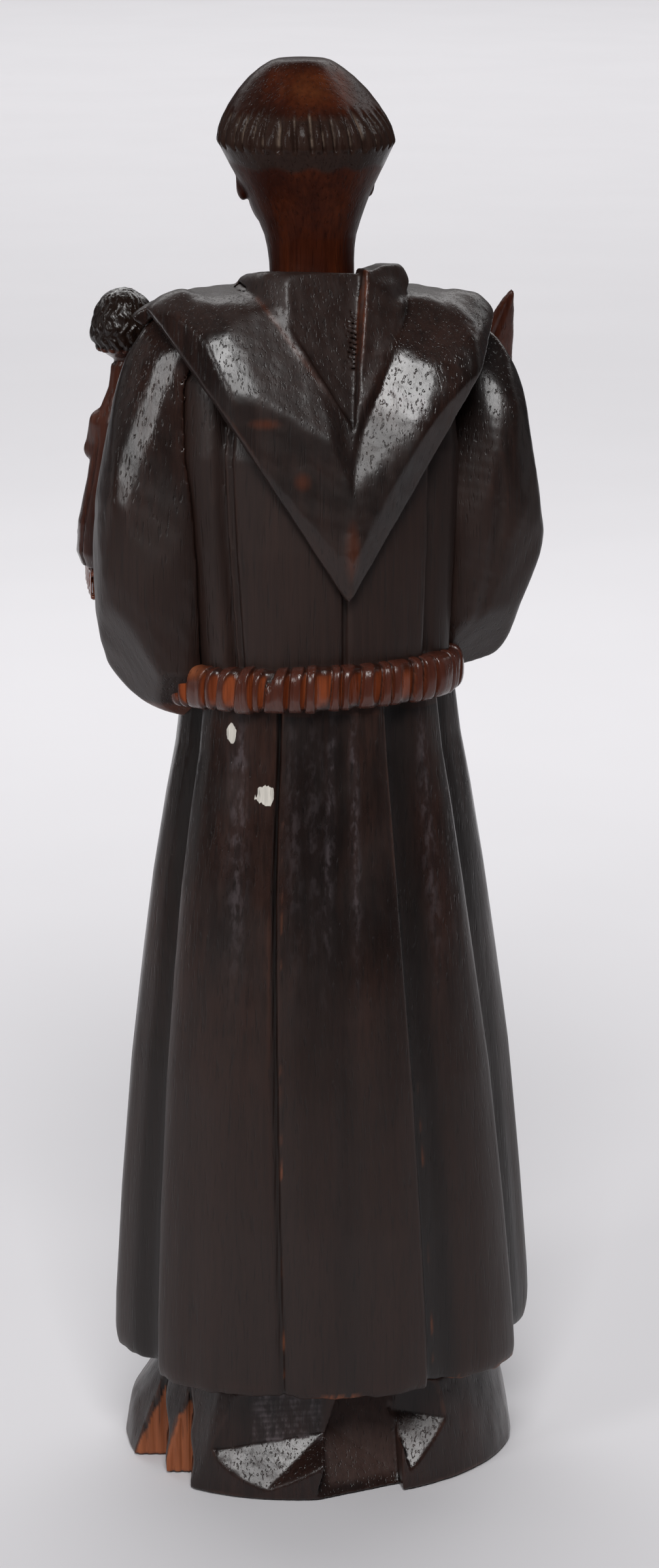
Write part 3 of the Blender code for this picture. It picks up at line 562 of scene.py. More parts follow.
def skirt_painted_sheen(P, N):
    """Painted sheen: lighter, speckled streaks down the crests under the belt, standing in for glossy reflections."""
    t = np.clip((222.0 - P[2]) / 43.0, 0, 2)
    b = bearing_of(P[0] - 1.6, P[1] * 1.17)
    out = 0.0
    for at, drift, wide, strong in ((-43.0, 3.2, 3.4, 0.62), (-3.6, -2.2, 1.7, 0.64), (5.4, -0.8, 1.5, 0.64), (38.2, -1.8, 2.4, 0.52), (-20.5, 2.0, 3.0, 0.26), (-12.0, 1.0, 4.0, 0.22), (24.0, -1.0, 2.0, 0.14)):
        out = np.maximum(out, strong * np.exp(-(((b - at - drift * t) / wide) ** 2)))
    return 0.75 * out * np.clip((P[2] - 138.0) / 50.0, 0, 1) * np.clip((225.0 - P[2]) / 8.0, 0.3, 1) * (P[1] > 0)


verts, faces = skirt_mesh()
make("skirt_carving", verts, faces, "friar", ["habit_skirt"], HABIT, {"raw": skirt_raw, "paper": skirt_paper, "painted_sheen": skirt_painted_sheen, "matte": skirt_matte, "dark": skirt_painted_shade})


# ------------------------------------------------------------------ torso
def smooth_table(stations, span=360.0):
    """A fine lookup table, with rounded changes, through (bearing, height) stations round the body."""
    xs = np.array([s[0] for s in stations], float)
    ys = np.array([s[1] for s in stations], float)
    xs, ys = np.concatenate([xs[-3:] - span, xs, xs[:3] + span]), np.concatenate([ys[-3:], ys, ys[:3]])
    slope = np.diff(ys) / np.diff(xs)
    both = slope[1:] * slope[:-1] > 0
    m = np.concatenate([[0], np.where(both, 2 * slope[1:] * slope[:-1] / np.where(both, slope[1:] + slope[:-1], 1.0), 0.0), [0]])
    fine = np.linspace(xs[2], xs[2] + span, 2881)
    i = np.clip(np.searchsorted(xs, fine) - 1, 0, len(xs) - 2)
    h = xs[i + 1] - xs[i]
    u = (fine - xs[i]) / h
    return fine, ys[i] * (1 + 2 * u) * (1 - u) ** 2 + m[i] * h * u * (1 - u) ** 2 + ys[i + 1] * u * u * (3 - 2 * u) + m[i + 1] * h * u * u * (u - 1)


TORSO_FOLDS = smooth_table((
    (-110, 0.2), (-95, 0.0), (-80, -1.5), (-73, -3.2), (-66, 0.2), (-57, 0.8), (-50.5, 0.5), (-47.2, -1.9), (-45, -0.4), (-42.8, -1.1), (-40, 0.5), (-25, 0.7), (-8, 0.4),
    (0.4, 0.2), (2.3, -1.1), (4.2, 0.2), (15, 0.5), (30, 0.9), (37, 1.3), (38.8, 0.8), (41, -2.4), (44, -2.0), (48.5, 0.0), (56, 1.0), (61, 0.9), (64.5, -2.5), (70, -4.0),
    (80, -1.5), (95, 0.0), (118, 0.4), (128, -1.8), (140, 0.6), (152, 0.5), (160, -2.2), (168, 0.6), (182, 0.3), (190, -1.4), (200, 0.8), (212, -2.0), (224, 0.6), (236, 0.2),
))


def torso_field(P):
    b = bearing_of(P[0] - 2.0, P[1] * 1.19)
    b = b - (P[2] - 250.0) * np.where(np.abs(b) < 90, np.clip(b / 40.0, -1, 1) * 0.075, 0.0)
    b = (b - TORSO_FOLDS[0][0]) % 360.0 + TORSO_FOLDS[0][0]
    fade = np.clip((336.0 - P[2]) / 24.0, 0.0, 1.0)
    d = oval(P, TORSO_ROWS) - np.interp(b, *TORSO_FOLDS) * fade * 1.25
    return np.maximum(np.maximum(d, P[2] - 338.8), 229.4 - P[2])


carved("torso_carving", torso_field, (-46, -36, 224), (50, 37, 340), 0.66, "friar", ["habit_torso"], HABIT, {"matte": lambda P, N: np.full(len(P[0]), 0.75)})


# ------------------------------------------------------------------ sleeves
def facets(d, P, cuts, k=0.7):
    for p, normal in cuts:
        d = smax(d, plane(P, p, normal), k)
    return d


def arm_column(P, rows, inner, side, back, front):
    """The upper arm: an upright block whose outer edge follows the rows of (height, outer x)."""
    z = P[2]
    zs, xs = np.array([r[0] for r in rows], float), np.array([r[1] for r in rows], float)
    fine = np.linspace(zs[0], zs[-1], 240)
    smooth = np.convolve(np.pad(np.interp(fine, zs, xs), 6, mode="edge"), np.hanning(13) / np.hanning(13).sum(), "valid")
    outer = np.interp(z, fine, smooth)
    cx, a = (outer + inner) / 2, np.maximum(np.abs(outer - inner) / 2, 1.0)
    b = np.where(P[1] > 0, np.interp(z, *back), np.interp(z, *front))
    k0 = (np.abs((P[0] - cx) / a) ** 2.3 + np.abs(P[1] / b) ** 2.3) ** (1 / 2.3)
    d = (k0 - 1.0) * np.minimum(a, b) * 0.86
    return smax(smax(d, z - zs[-1], 3.0), zs[0] - z, 3.0)


LEFT_EDGE = ((219.0, 38.0), (223.4, 49.5), (227.0, 54.6), (234.0, 60.2), (240.6, 62.0), (250.0, 63.4), (259.5, 64.1), (269.0, 64.0), (283.0, 62.8), (296.0, 60.3), (310.0, 57.4), (320.0, 54.4), (328.0, 49.0), (333.0, 43.0))
RIGHT_EDGE = ((230.0, -38.0), (232.5, -49.5), (239.0, -53.2), (247.5, -55.8), (255.0, -59.4), (262.0, -61.9), (270.0, -62.6), (277.0, -61.9), (292.0, -60.0), (307.0, -57.4), (314.0, -54.6), (322.0, -50.0), (330.0, -42.0))


def left_sleeve_field(P):
    upper = arm_column(P, LEFT_EDGE, 30.0, 1, ((219, 235, 262, 300, 320, 333), (9, 16, 18.6, 17.2, 14.5, 9)), ((219, 235, 300, 333), (14, 18, 16, 9)))
    fore = chain(P, (((45.6, -4.0, 240.4), 11.6), ((45.6, -16.0, 237.4), 12.4), ((44.0, -36.0, 238.4), 13.0)), 4.0)
    d = smin(upper, fore, 4.0)
    d = facets(
        d,
        P,
        (
            ((50.6, 10.5, 305.0), (0.504, 0.824, 0.260)),
            ((44.3, 9.9, 322.3), (0.504, 0.581, 0.639)),
            ((44.7, 11.7, 315.8), (0.175, 0.975, 0.140)),
            ((49.8, 12.8, 302.4), (0.171, 0.974, 0.150)),
            ((54.3, 13.8, 290.6), (0.173, 0.974, 0.144)),
            ((58.2, 13.2, 284.8), (0.511, 0.853, 0.106)),
            ((58.5, 11.1, 290.9), (0.779, 0.560, 0.282)),
            ((54.5, 9.7, 303.2), (0.758, 0.552, 0.348)),
            ((49.4, 9.0, 315.4), (0.757, 0.552, 0.349)),
            ((59.0, 13.0, 262), (0.66, 0.75, 0.0)),
            ((50.0, 18.2, 262), (0.10, 1.0, -0.04)),
            ((56.4, 8, 242), (0.80, 0.42, -0.42)),
            ((52.4, 8, 229), (0.52, 0.42, -0.74)),
            ((47.0, 13.4, 232), (0.05, 0.72, -0.69)),
            ((63.8, -2, 262), (1.0, 0.0, 0.0)),
        ),
        0.9,
    )
    # the cuff is hollowed round the wrist
    d = smax(d, -capsule(P, (44.4, -30.0, 236.0), (43.4, -48.0, 240.4), 7.4, 9.6), 0.8)
    d = smax(d, plane(P, (44.0, -37.0, 238.4), (-0.1, -1.0, 0.12)), 0.6)
    # folds: one down the back of the sleeve, one that rises from the elbow in front
    fold = chain(P, (((53.6, 18.6, 292.0), 0.3), ((54.6, 19.0, 270.0), 1.3), ((53.8, 18.8, 250.0), 1.4), ((51.0, 15.6, 234.0), 0.6)), 1.0)
    d = smax(d, -fold, 1.4)
    for path in ((((63.0, -6.0, 276.0), 0.5), ((61.5, -13.0, 254.0), 1.6), ((56.0, -21.0, 243.0), 1.2)), (((60.0, -12.0, 300.0), 0.4), ((57.0, -17.0, 272.0), 1.4), ((52.0, -19.0, 254.0), 1.0)), (((56.0, -14.0, 226.0), 0.6), ((52.0, -27.0, 226.0), 1.2), ((46.0, -36.0, 228.0), 0.8))):
        d = smax(d, -chain(P, path, 1.0), 1.6)
    d = d + 0.10 * wobble(P, 12, 21)
    return np.maximum(d, 0.35 - torso_field(P))


def right_sleeve_field(P):
    upper = arm_column(P, RIGHT_EDGE, -28.0, -1, ((231, 246, 270, 300, 318, 330), (8, 15, 17.8, 16.6, 14, 9)), ((231, 246, 300, 330), (13, 17, 15, 9)))
    fore = chain(P, (((-45.0, -4.0, 250.6), 12.4), ((-41.5, -18.0, 247.4), 13.0), ((-34.6, -36.0, 252.6), 12.2)), 4.0)
    d = smin(upper, fore, 4.0)
    d = facets(
        d,
        P,
        (
            ((-46.0, 13.8, 303.0), (0.227, 0.877, 0.423)),
            ((-42.0, 7.2, 314.6), (0.389, 0.606, 0.694)),
            ((-45.8, 8.8, 313.3), (-0.113, 0.727, 0.677)),
            ((-48.5, 12.0, 308.2), (-0.221, 0.858, 0.463)),
            ((-47.3, 14.2, 302.8), (-0.069, 0.962, 0.262)),
            ((-44.2, 13.7, 302.1), (0.461, 0.861, 0.216)),
            ((-41.6, 9.8, 308.9), (0.540, 0.785, 0.305)),
            ((-56.5, 10.5, 302), (-0.70, 0.55, 0.45)),
            ((-57.4, 12.0, 284), (-0.66, 0.74, 0.12)),
            ((-61.4, 2, 277), (-0.97, 0.14, 0.16)),
            ((-58.4, 5, 255), (-0.90, 0.24, -0.34)),
            ((-55.0, 8, 240.5), (-0.62, 0.34, -0.70)),
            ((-45.0, 13.5, 247), (-0.22, 0.74, -0.62)),
            ((-46.0, 17.6, 272), (-0.06, 1.0, -0.05)),
            ((-54.5, 13.6, 264), (-0.52, 0.84, -0.14)),
        ),
        0.9,
    )
    d = smax(d, -capsule(P, (-36.6, -29.0, 251.0), (-34.0, -48.0, 259.0), 7.0, 9.2), 0.8)
    d = smax(d, plane(P, (-34.6, -37.0, 252.6), (0.25, -1.0, 0.2)), 0.6)
    fold = chain(P, (((-45.0, 17.6, 298.0), 0.3), ((-46.4, 18.2, 280.0), 1.2), ((-44.0, 17.6, 258.0), 1.5), ((-40.0, 14.0, 242.0), 0.6)), 1.0)
    d = smax(d, -fold, 1.4)
    for path in ((((-61.0, -6.0, 280.0), 0.5), ((-57.0, -13.0, 260.0), 1.6), ((-48.0, -23.0, 255.0), 1.2)), (((-57.0, -11.0, 300.0), 0.4), ((-53.0, -16.0, 278.0), 1.4), ((-46.0, -19.0, 264.0), 1.0)), (((-50.0, -14.0, 240.0), 0.6), ((-44.0, -27.0, 239.0), 1.2), ((-37.0, -36.0, 242.0), 0.8))):
        d = smax(d, -chain(P, path, 1.0), 1.6)
    d = d + 0.10 * wobble(P, 12, 22)
    return np.maximum(d, 0.35 - torso_field(P))


def sleeve_matte(P, N):
    """The lower sleeves took less varnish than the shoulders."""
    return 0.8 * np.clip((292.0 - P[2]) / 24.0, 0, 1)


def sleeve_rust(P, N):
    return 0.8 * np.clip((225.5 - P[2]) / 2.0, 0, 1) * (P[0] > 0)


carved("left_sleeve_carving", left_sleeve_field, (26, -42, 216), (68, 24, 336), 0.66, "friar", ["left_sleeve"], HABIT, {"rust": sleeve_rust, "matte": sleeve_matte})
carved("right_sleeve_carving", right_sleeve_field, (-66, -42, 226), (-20, 24, 334), 0.66, "friar", ["right_sleeve"], HABIT, {"matte": sleeve_matte})


# ------------------------------------------------------------------ head
BELL = ((336.0, 11.4), (345.0, 11.6), (348.5, 11.9), (352.0, 12.5), (355.5, 13.7), (359.0, 15.2), (362.6, 16.7), (366.0, 18.4), (370.0, 20.5), (373.0, 22.0), (375.2, 23.1), (376.8, 23.8), (378.6, 24.0), (381.0, 23.5), (384.0, 22.2), (387.0, 20.5), (391.0, 17.6), (394.5, 14.4), (397.0, 11.3), (398.8, 8.4), (399.7, 5.8), (400.0, 1.0))


def head_axis(z):
    """The axis of the head leans a little to the figure's right at the neck."""
    return HEAD_X + np.interp(z, (340.0, 352.0, 376.0, 392.0, 400.0), (-1.9, -1.7, -0.9, 0.2, 0.5))


def head_field(P):
    x, y, z = P[0] - head_axis(P[2]), P[1] - HEAD_Y * np.clip((P[2] - 330.0) / 30.0, 0, 1), P[2]
    Q = [x, y, z]
    zs, rs = [b[0] for b in BELL], [b[1] for b in BELL]
    fine = np.linspace(336, 400, 400)
    prof = np.interp(fine, zs, rs)
    prof = np.convolve(np.pad(prof, 5, mode="edge"), np.hanning(11) / np.hanning(11).sum(), "valid")
    r = np.sqrt(x**2 + (y / 1.02) ** 2)
    bell = smax((r - np.interp(z, fine, prof)) * 0.80, z - 399.6, 1.0)
    for p, normal in (((9.0, 12.5, 391.0), (0.50, 0.52, 0.69)), ((-9.0, 12.5, 391.0), (-0.50, 0.52, 0.69)), ((0.0, 15.4, 391.6), (0.0, 0.70, 0.71))):
        bell = smax(bell, plane(Q, p, normal), 2.0)
    # locks of the hair ring, cut with a gouge
    angle = np.arctan2(x, y)
    lock = angle * 37.0 / (2 * math.pi) + 0.18 * np.sin(angle * 7.0) + 0.10 * np.sin(angle * 17.0)
    gap = np.abs(lock - np.round(lock)) / 37.0 * 2 * math.pi * 23.0
    slope = np.clip((z - 376.0) / 1.0, 0, 1) * np.clip((387.4 + 0.8 * np.sin(angle * 9) - z) / 4.0, 0, 1)
    bell = bell + 1.15 * slope * np.exp(-((gap / 0.62) ** 2)) - 0.12 * slope
    bell = bell - 0.22 * np.exp(-(((z - 377.4) / 0.9) ** 2)) * (1 - np.exp(-((gap / 0.9) ** 2)))
    # face: calm and plain
    face = ellipsoid(Q, (0, -8.0, 367.0), (15.6, 15.6, 17.6))
    face = smin(face, ellipsoid(Q, (0, -16.6, 355.4), (7.6, 6.8, 6.0)), 6.0)
    face = smin(face, ellipsoid(Q, (0, -13.0, 359.0), (12.0, 9.0, 8.0)), 5.0)
    d = smin(bell, face, 2.5)
    for s in (-1, 1):
        d = smax(d, -ellipsoid(Q, (s * 6.3, -25.0, 368.6), (4.6, 3.6, 3.0)), 2.4)
        d = smin(d, ellipsoid(Q, (s * 6.2, -20.6, 368.2), (3.5, 2.9, 2.3)), 0.7)
        lid = chain(Q, (((s * 3.4, -22.9, 367.4), 0.42), ((s * 6.2, -23.7, 367.0), 0.42), ((s * 9.2, -22.2, 367.3), 0.42)), 0.1)
        crease = chain(Q, (((s * 3.6, -22.7, 370.0), 0.36), ((s * 6.3, -23.1, 370.6), 0.36), ((s * 9.3, -21.6, 370.1), 0.36)), 0.1)
        d = smax(d, -np.minimum(lid, crease), 0.4)
        d = smin(d, capsule(Q, (s * 2.4, -23.4, 372.2), (s * 9.4, -20.6, 372.4), 1.1), 1.6)
        d = smin(d, ellipsoid(Q, (s * 2.2, -24.2, 363.4), (1.5, 1.7, 1.2)), 0.9)
        ear = ellipsoid(Q, (s * 17.4, -3.4, 366.6), (2.0, 3.6, 5.4))
        ear = smax(ear, -ellipsoid(Q, (s * 19.4, -3.8, 367.4), (1.3, 2.0, 3.2)), 0.8)
        d = smin(d, ear, 0.8)
        d = smin(d, ellipsoid(Q, (s * 9.4, -17.6, 362.0), (4.0, 3.4, 3.6)), 3.0)
    d = smin(d, chain(Q, (((0, -23.2, 371.4), 1.3), ((0, -24.8, 367.4), 1.5), ((0, -26.6, 364.0), 2.0)), 1.0), 1.4)
    d = smin(d, ellipsoid(Q, (0, -23.7, 359.5), (4.4, 1.8, 1.15)), 0.7)
    d = smin(d, ellipsoid(Q, (0, -23.4, 357.1), (3.7, 1.8, 1.25)), 0.7)
    mouth = chain(Q, (((-4.9, -23.3, 358.5), 0.45), ((0, -25.1, 358.2), 0.50), ((4.9, -23.3, 358.5), 0.45)), 0.1)
    d = smax(d, -mouth, 0.4)
    d = smin(d, ellipsoid(Q, (0, -20.4, 353.2), (4.6, 2.8, 3.0)), 2.0)
    return np.maximum(d + 0.06 * wobble(P, 9, 41), 336.4 - z)


def head_hair(P, N):
    ring = np.clip((P[2] - 370.8 + 0.6 * np.sin(P[0] * 0.7)) / 1.4, 0, 1) * np.clip((386.2 - P[2]) / 1.6, 0, 1)
    front = np.clip((P[1] - HEAD_Y + 15.0) / 4.0, 0, 1)
    low = np.clip((P[2] - 375.0) / 1.2, 0, 1)
    return ring * np.maximum(front, low)


def head_painted_highlight(P, N):
    # painted highlight: a soft pale patch on the upper back of the crown
    return 0.5 * spot(P, (5.0, 8.0, 392.0), (6.0, 7.0, 3.4)) * (0.6 + 0.4 * wobble(P, 6, 43))


def head_dark(P, N):
    """Darker round the top of the bald crown and down its sides."""
    across = np.abs(P[0] - 5.2)
    rim = np.clip((P[2] - 395.5) / 3.0, 0, 1) + np.clip((across - 9.0) / 5.0, 0, 1) * np.clip((P[2] - 383.0) / 3.0, 0, 1) + 0.7 * np.clip((389.0 - P[2]) / 3.0, 0, 1) * (P[2] > 385.0)
    return 0.8 * np.clip(rim, 0, 1)


def head_dust(P, N):
    """Pale dust in the cuts between the locks."""
    angle = np.arctan2(P[0] - head_axis(P[2]), P[1] - HEAD_Y)
    lock = angle * 37.0 / (2 * math.pi) + 0.18 * np.sin(angle * 7.0) + 0.10 * np.sin(angle * 17.0)
    gap = np.abs(lock - np.round(lock)) / 37.0 * 2 * math.pi * 23.0
    tall = np.clip((P[2] - 377.6) / 0.8, 0, 1) * np.clip((386.0 + 0.8 * np.sin(angle * 9) - P[2]) / 1.2, 0, 1)
    return 0.95 * tall * np.exp(-((gap / 0.30) ** 2)) * np.clip(0.45 + 0.9 * wobble(P, 7, 44), 0, 1)


carved("head_carving", head_field, (-22, -38, 334), (31, 24, 402), 0.48, "friar", ["head"], FLESH, {"hair": head_hair, "pale": head_painted_highlight, "dark": head_dark, "dust": head_dust})


# ------------------------------------------------------------------ hood
LEFT_CUTS = (
    ((28.4, 29.2, 319.6), (0.169, 0.891, 0.422)), ((34.2, 24.1, 328.7), (0.214, 0.633, 0.744)), ((29.0, 26.5, 325.6), (-0.025, 0.848, 0.529)), ((25.7, 30.9, 317.7), (-0.054, 0.886, 0.461)),
    ((28.1, 32.3, 313.7), (0.231, 0.973, 0.019)), ((32.9, 29.6, 317.4), (0.736, 0.678, 0.033)), ((35.6, 25.8, 324.4), (0.763, 0.641, 0.100)),
)
RIGHT_CUTS = (
    ((-19.3, 31.2, 314.0), (0.209, 0.882, 0.423)), ((-22.6, 28.0, 322.2), (0.027, 0.705, 0.708)), ((-25.6, 30.6, 318.4), (-0.137, 0.878, 0.459)), ((-23.3, 33.8, 310.6), (-0.103, 0.952, 0.287)),
    ((-16.7, 36.3, 302.0), (-0.068, 0.989, 0.132)),
)


def panel_plane(P):
    """Positive behind the flat hollow panel of the hood."""
    return P[1] - (16.8 + (343.0 - P[2]) * 0.465 - 1.4 * np.sin(np.clip((343.0 - P[2]) / 40.0, 0, 1) * math.pi) + 0.25 * (P[0] - 6.0))


def hood_field(P):
    x, y, z = P
    # square shoulders and the back, one soft body
    u = np.abs(x - 2.6)
    half = np.where(x > 2.6, 54.0, 51.0)
    top = np.where(x > 2.6, 338.8, 338.4)
    lift = np.clip((z - 288.0) / (top - 288.0), 0.0, None)
    deep = np.where(y > 0, np.interp(z, (255.0, 270.0, 285.0, 298.0, 308.0, 320.0), (42.0, 40.8, 38.6, 35.6, 32.6, 30.4)), 31.0)
    level = ((u / half) ** 3.4 + (np.abs(y) / deep) ** 2.2 + lift**8.0) ** (1 / 2.6)
    body = (level - 1.0) * 26.0
    # rolled edges from the shoulders to the middle of the back, each dressed with broad knife cuts
    left_roll = chain(P, (((40.0, 6.0, 329.0), 10.2), ((32.0, 19.8, 319.2), 12.2), ((16.0, 28.4, 302.8), 12.3), ((3.0, 31.4, 284.0), 8.6)), 6.0)
    right_roll = chain(P, (((-37.5, 5.0, 326.6), 10.2), ((-27.5, 18.8, 316.8), 12.2), ((-13.5, 27.8, 301.8), 12.3), ((-2.0, 31.4, 284.0), 8.6)), 6.0)
    left = facets(smin(body, left_roll, 2.5), P, LEFT_CUTS, 0.9)
    right = facets(smin(body, right_roll, 2.5), P, RIGHT_CUTS, 1.1)
    crease = np.interp(z, (270.0, 284.0, 304.0, 346.0), (2.6, 0.6, -3.4, -24.8))
    share = np.clip((x - crease) / 2.4 + 0.5, 0.0, 1.0)
    d = left * share + right * (1.0 - share)
    # collar standing close round the neck, lower in front
    rim = 343.8 + 0.055 * (x - 2.0) - np.clip(14.0 - y, 0, 32) * 0.17
    a = np.where(x > 2.4, 19.2, 22.6) + np.clip(343.0 - z, 0, 20) * 0.25
    b = np.where(y > 0, 20.0, 16.4) + np.clip(343.0 - z, 0, 20) * 0.36
    k = (np.abs((x - 2.4) / a) ** 3 + np.abs(y / b) ** 3) ** (1 / 3)
    collar = smax((k - 1.0) * 18.0, z - rim, 3.0)
    d = smin(d, np.maximum(collar, 320.0 - z), 1.2)
    # the V-shaped hollow panel, open to the rim above
    left_line = (x - (-2.8 + (z - 301.8) * 0.575 + np.clip(z - 333.0, 0, 20) * 0.5)) * 0.84
    right_line = ((-1.9 - (z - 303.5) * 0.165) - x) * 0.98
    wedge = smax(left_line, right_line, 0.6)
    d = smax(d, -smax(wedge, -panel_plane(P), 0.6), 0.4)
    # flap standing proud on the right of the panel, sharp on its left edge
    flap_left = (x - (-2.0 - (z - 304.0) * 0.150)) * 0.98
    flap_right = ((-3.4 - (z - 304.0) * 0.51) - x) * 0.90
    inward = np.clip(-flap_left, 0, 18)
    proud = (6.6 - 0.40 * inward) * np.clip((z - 300.0) / 26.0, 0.05, 1.0)
    flap_face = panel_plane(P) - proud
    dish = 345.6 - 0.9 * np.exp(-(((x + 9.5) / 3.2) ** 2)) * 1.6 + 0.06 * (x + 14.0) - np.clip(14.0 - y, 0, 30) * 0.10
    flap = smax(smax(smax(flap_left, flap_right, 0.4), flap_face, 1.1), np.maximum(z - dish, 300.0 - z), 0.6)
    flap = smax(flap, plane(P, (-20.6, 14.0, 343.0), (-0.86, 0.1, 0.50)), 1.4)
    flap = np.maximum(flap, -panel_plane(P) - 8.0)
    d = smin(d, flap, 0.8)
    # neck opening, no wider than the neck
    r = np.sqrt(((x - 3.0) / 1.0) ** 2 + ((y - 0.2) / 0.98) ** 2)
    d = smax(d, -np.maximum(r - 12.6, 318.0 - z), 0.5)
    # free edge: the wide chamfers behind and the collar's points in front
    chamfer = plane3(P, (0.2, 40.4, 268.8), (33.2, 33.0, 314.0), (13.6, 34.6, 277.5), (60.0, 30.0, 262.0))
    chamfer = smax(chamfer, plane3(P, (-0.2, 40.4, 268.8), (-24.0, 35.0, 308.0), (-23.5, 31.6, 294.1), (-60.0, 30.0, 262.0)), 0.5)
    under = smax(plane3(P, (1.0, 30.0, 258.0), (1.0, 40.0, 258.0), (41.5, 27.0, 322.0), (60, 30, 262)), plane3(P, (0.0, 30, 258.0), (0.0, 40, 258.0), (-39.0, 20, 319.0), (-60, 30, 262)), 0.4)
    d = np.where(y > -2.0, smax(smax(d, chamfer, 0.4), under, 0.4), d)
    front = smax(plane3(P, (2.0, -30, 297.0), (2.0, -20, 297.0), (44.0, -16, 325.0), (44, -20, 290)), plane3(P, (2.0, -30, 297.0), (2.0, -20, 297.0), (-40.0, -16, 322.0), (-40, -20, 290)), 0.5)
    d = np.where(y <= -2.0, smax(d, front, 0.8), d)
    d = smax(d, 320.0 - z - np.clip((np.abs(y) - 12.0) * 6.0, -2, 80), 0.8)
    knife = np.sin(x * 0.9 + z * 0.5 + np.sin(y * 0.4)) * np.clip((z - 331.0) / 5.0, 0, 1) * np.clip((u - 20.0) / 8.0, 0, 1)
    return d + 0.09 * wobble(P, 9, 31) + 0.05 * wobble(P, 3.6, 32) + 0.14 * knife


def hood_trimmed(P):
    d = hood_field(P)
    d = np.maximum(d, 0.3 - torso_field(P))
    d = np.maximum(d, 0.3 - head_field(P))
    return np.maximum(d, 0.3 - np.minimum(left_sleeve_field(P), right_sleeve_field(P)))


def hood_rust(P, N):
    edge = np.exp(-(((P[0] + 2.2 + (P[2] - 304.0) * 0.15) / 0.55) ** 2)) * np.clip((P[2] - 318.0) / 14.0, 0, 1) * (P[1] > 16)
    edge = edge * np.clip(0.75 + 0.5 * wobble(P, 5, 33), 0, 1)
    tip = 0.40 * spot(P, (0.0, 40.0, 272.0), (1.6, 6.0, 6.0))
    left = 0.5 * spot(P, (23.0, 37.0, 306.5), (3.4, 6.0, 1.2))
    left = np.maximum(left, 0.4 * spot(P, (13.0, 39.0, 291.0), (1.8, 6.0, 2.0)))
    rim = 0.35 * np.exp(-(((P[0] - (-1.6 + (P[2] - 303.5) * 0.67)) / 0.7) ** 2)) * (P[1] > 14) * np.clip((P[2] - 312) / 10, 0, 1)
    return np.maximum(np.maximum(np.maximum(edge, tip), left), rim)


def hood_matte(P, N):
    """The chamfers and the torso side of the edge were cut last and took less varnish."""
    low = np.clip((0.30 - N[2] - 0.25) / 0.2, 0, 1) * np.clip((np.abs(N[0]) - 0.35) / 0.2, 0, 1)
    top = np.clip((N[2] - 0.62) / 0.25, 0, 1)
    collar = np.clip((P[2] - 333.0) / 3.0, 0, 1) * (P[0] > 8.0)
    x, y, z = P
    crease = np.interp(z, (270.0, 284.0, 304.0, 346.0), (2.6, 0.6, -3.4, -24.8))
    left = np.clip((25.5 + 0.42 * np.clip(z - 316.0, 0, 30) - x) / 2.0, 0, 1) * (x > crease) * (y > 8)
    right = np.clip((312.0 + 0.59 * (x + 9.0) - z) / 6.0, 0, 1) * (x <= crease) * (y > 8)
    plates = np.maximum(left, right) * np.clip(0.8 + 0.3 * wobble(P, 6, 37), 0, 1)
    return np.maximum(np.maximum(0.8 * low * (y > 8) * (z < 326), 0.9 * top), np.maximum(0.9 * collar, 0.9 * plates))


def hood_painted_shade(P, N):
    """Painted shade on the plates below the lit cuts and in the roots of the folds."""
    x, y, z = P
    crease = np.interp(z, (270.0, 284.0, 304.0, 346.0), (2.6, 0.6, -3.4, -24.8))
    low = np.clip((316.0 - z) / 10.0, 0, 1) * np.clip((25.0 - np.abs(x)) / 6.0, 0, 1) * np.clip((z - 274.0) / 8.0, 0, 1)
    low = low * np.where(x > crease, 1.0, np.clip((308.0 + 0.59 * (x + 9.0) - z) / 4.0, 0, 1))
    return 0.55 * low * (y > 8) * np.clip(0.7 + 0.5 * wobble(P, 8, 38), 0, 1)


carved("hood_carving", hood_trimmed, (-50, -34, 255), (54, 45, 349), 0.60, "friar", ["hood_cape"], HABIT, {"rust": hood_rust, "matte": hood_matte, "dark": hood_painted_shade})


# ------------------------------------------------------------------ plinth
VIEW = math.radians(12.0)


def tilted(P, bearing, out, rise, up):
    """A knife plane by bearing, distance out, rise of its face in degrees and height; positive outside."""
    r, e = math.radians(bearing), math.radians(rise)
    n = (-math.sin(r) * math.cos(e), math.cos(r) * math.cos(e), math.sin(e))
    return plane(P, (-math.sin(r) * out, math.cos(r) * out, up), n)


def drum(P, a, back, front, taper, power=1.3):
    x, y, z = P
    reach = np.where(y < 0, front, back)
    t = np.arctan2(y / reach, x / a)
    corner = np.abs(np.sin(2 * t)) * np.where(y < 0, 0.06, np.where(x > 0, 0.02, -0.016))
    size = (1.0 + corner) * (1.0 - taper * np.clip(z / 30.0, 0, 1) ** power)
    return (np.sqrt((x / a) ** 2 + (y / reach) ** 2) / size - 1.0) * 46.0


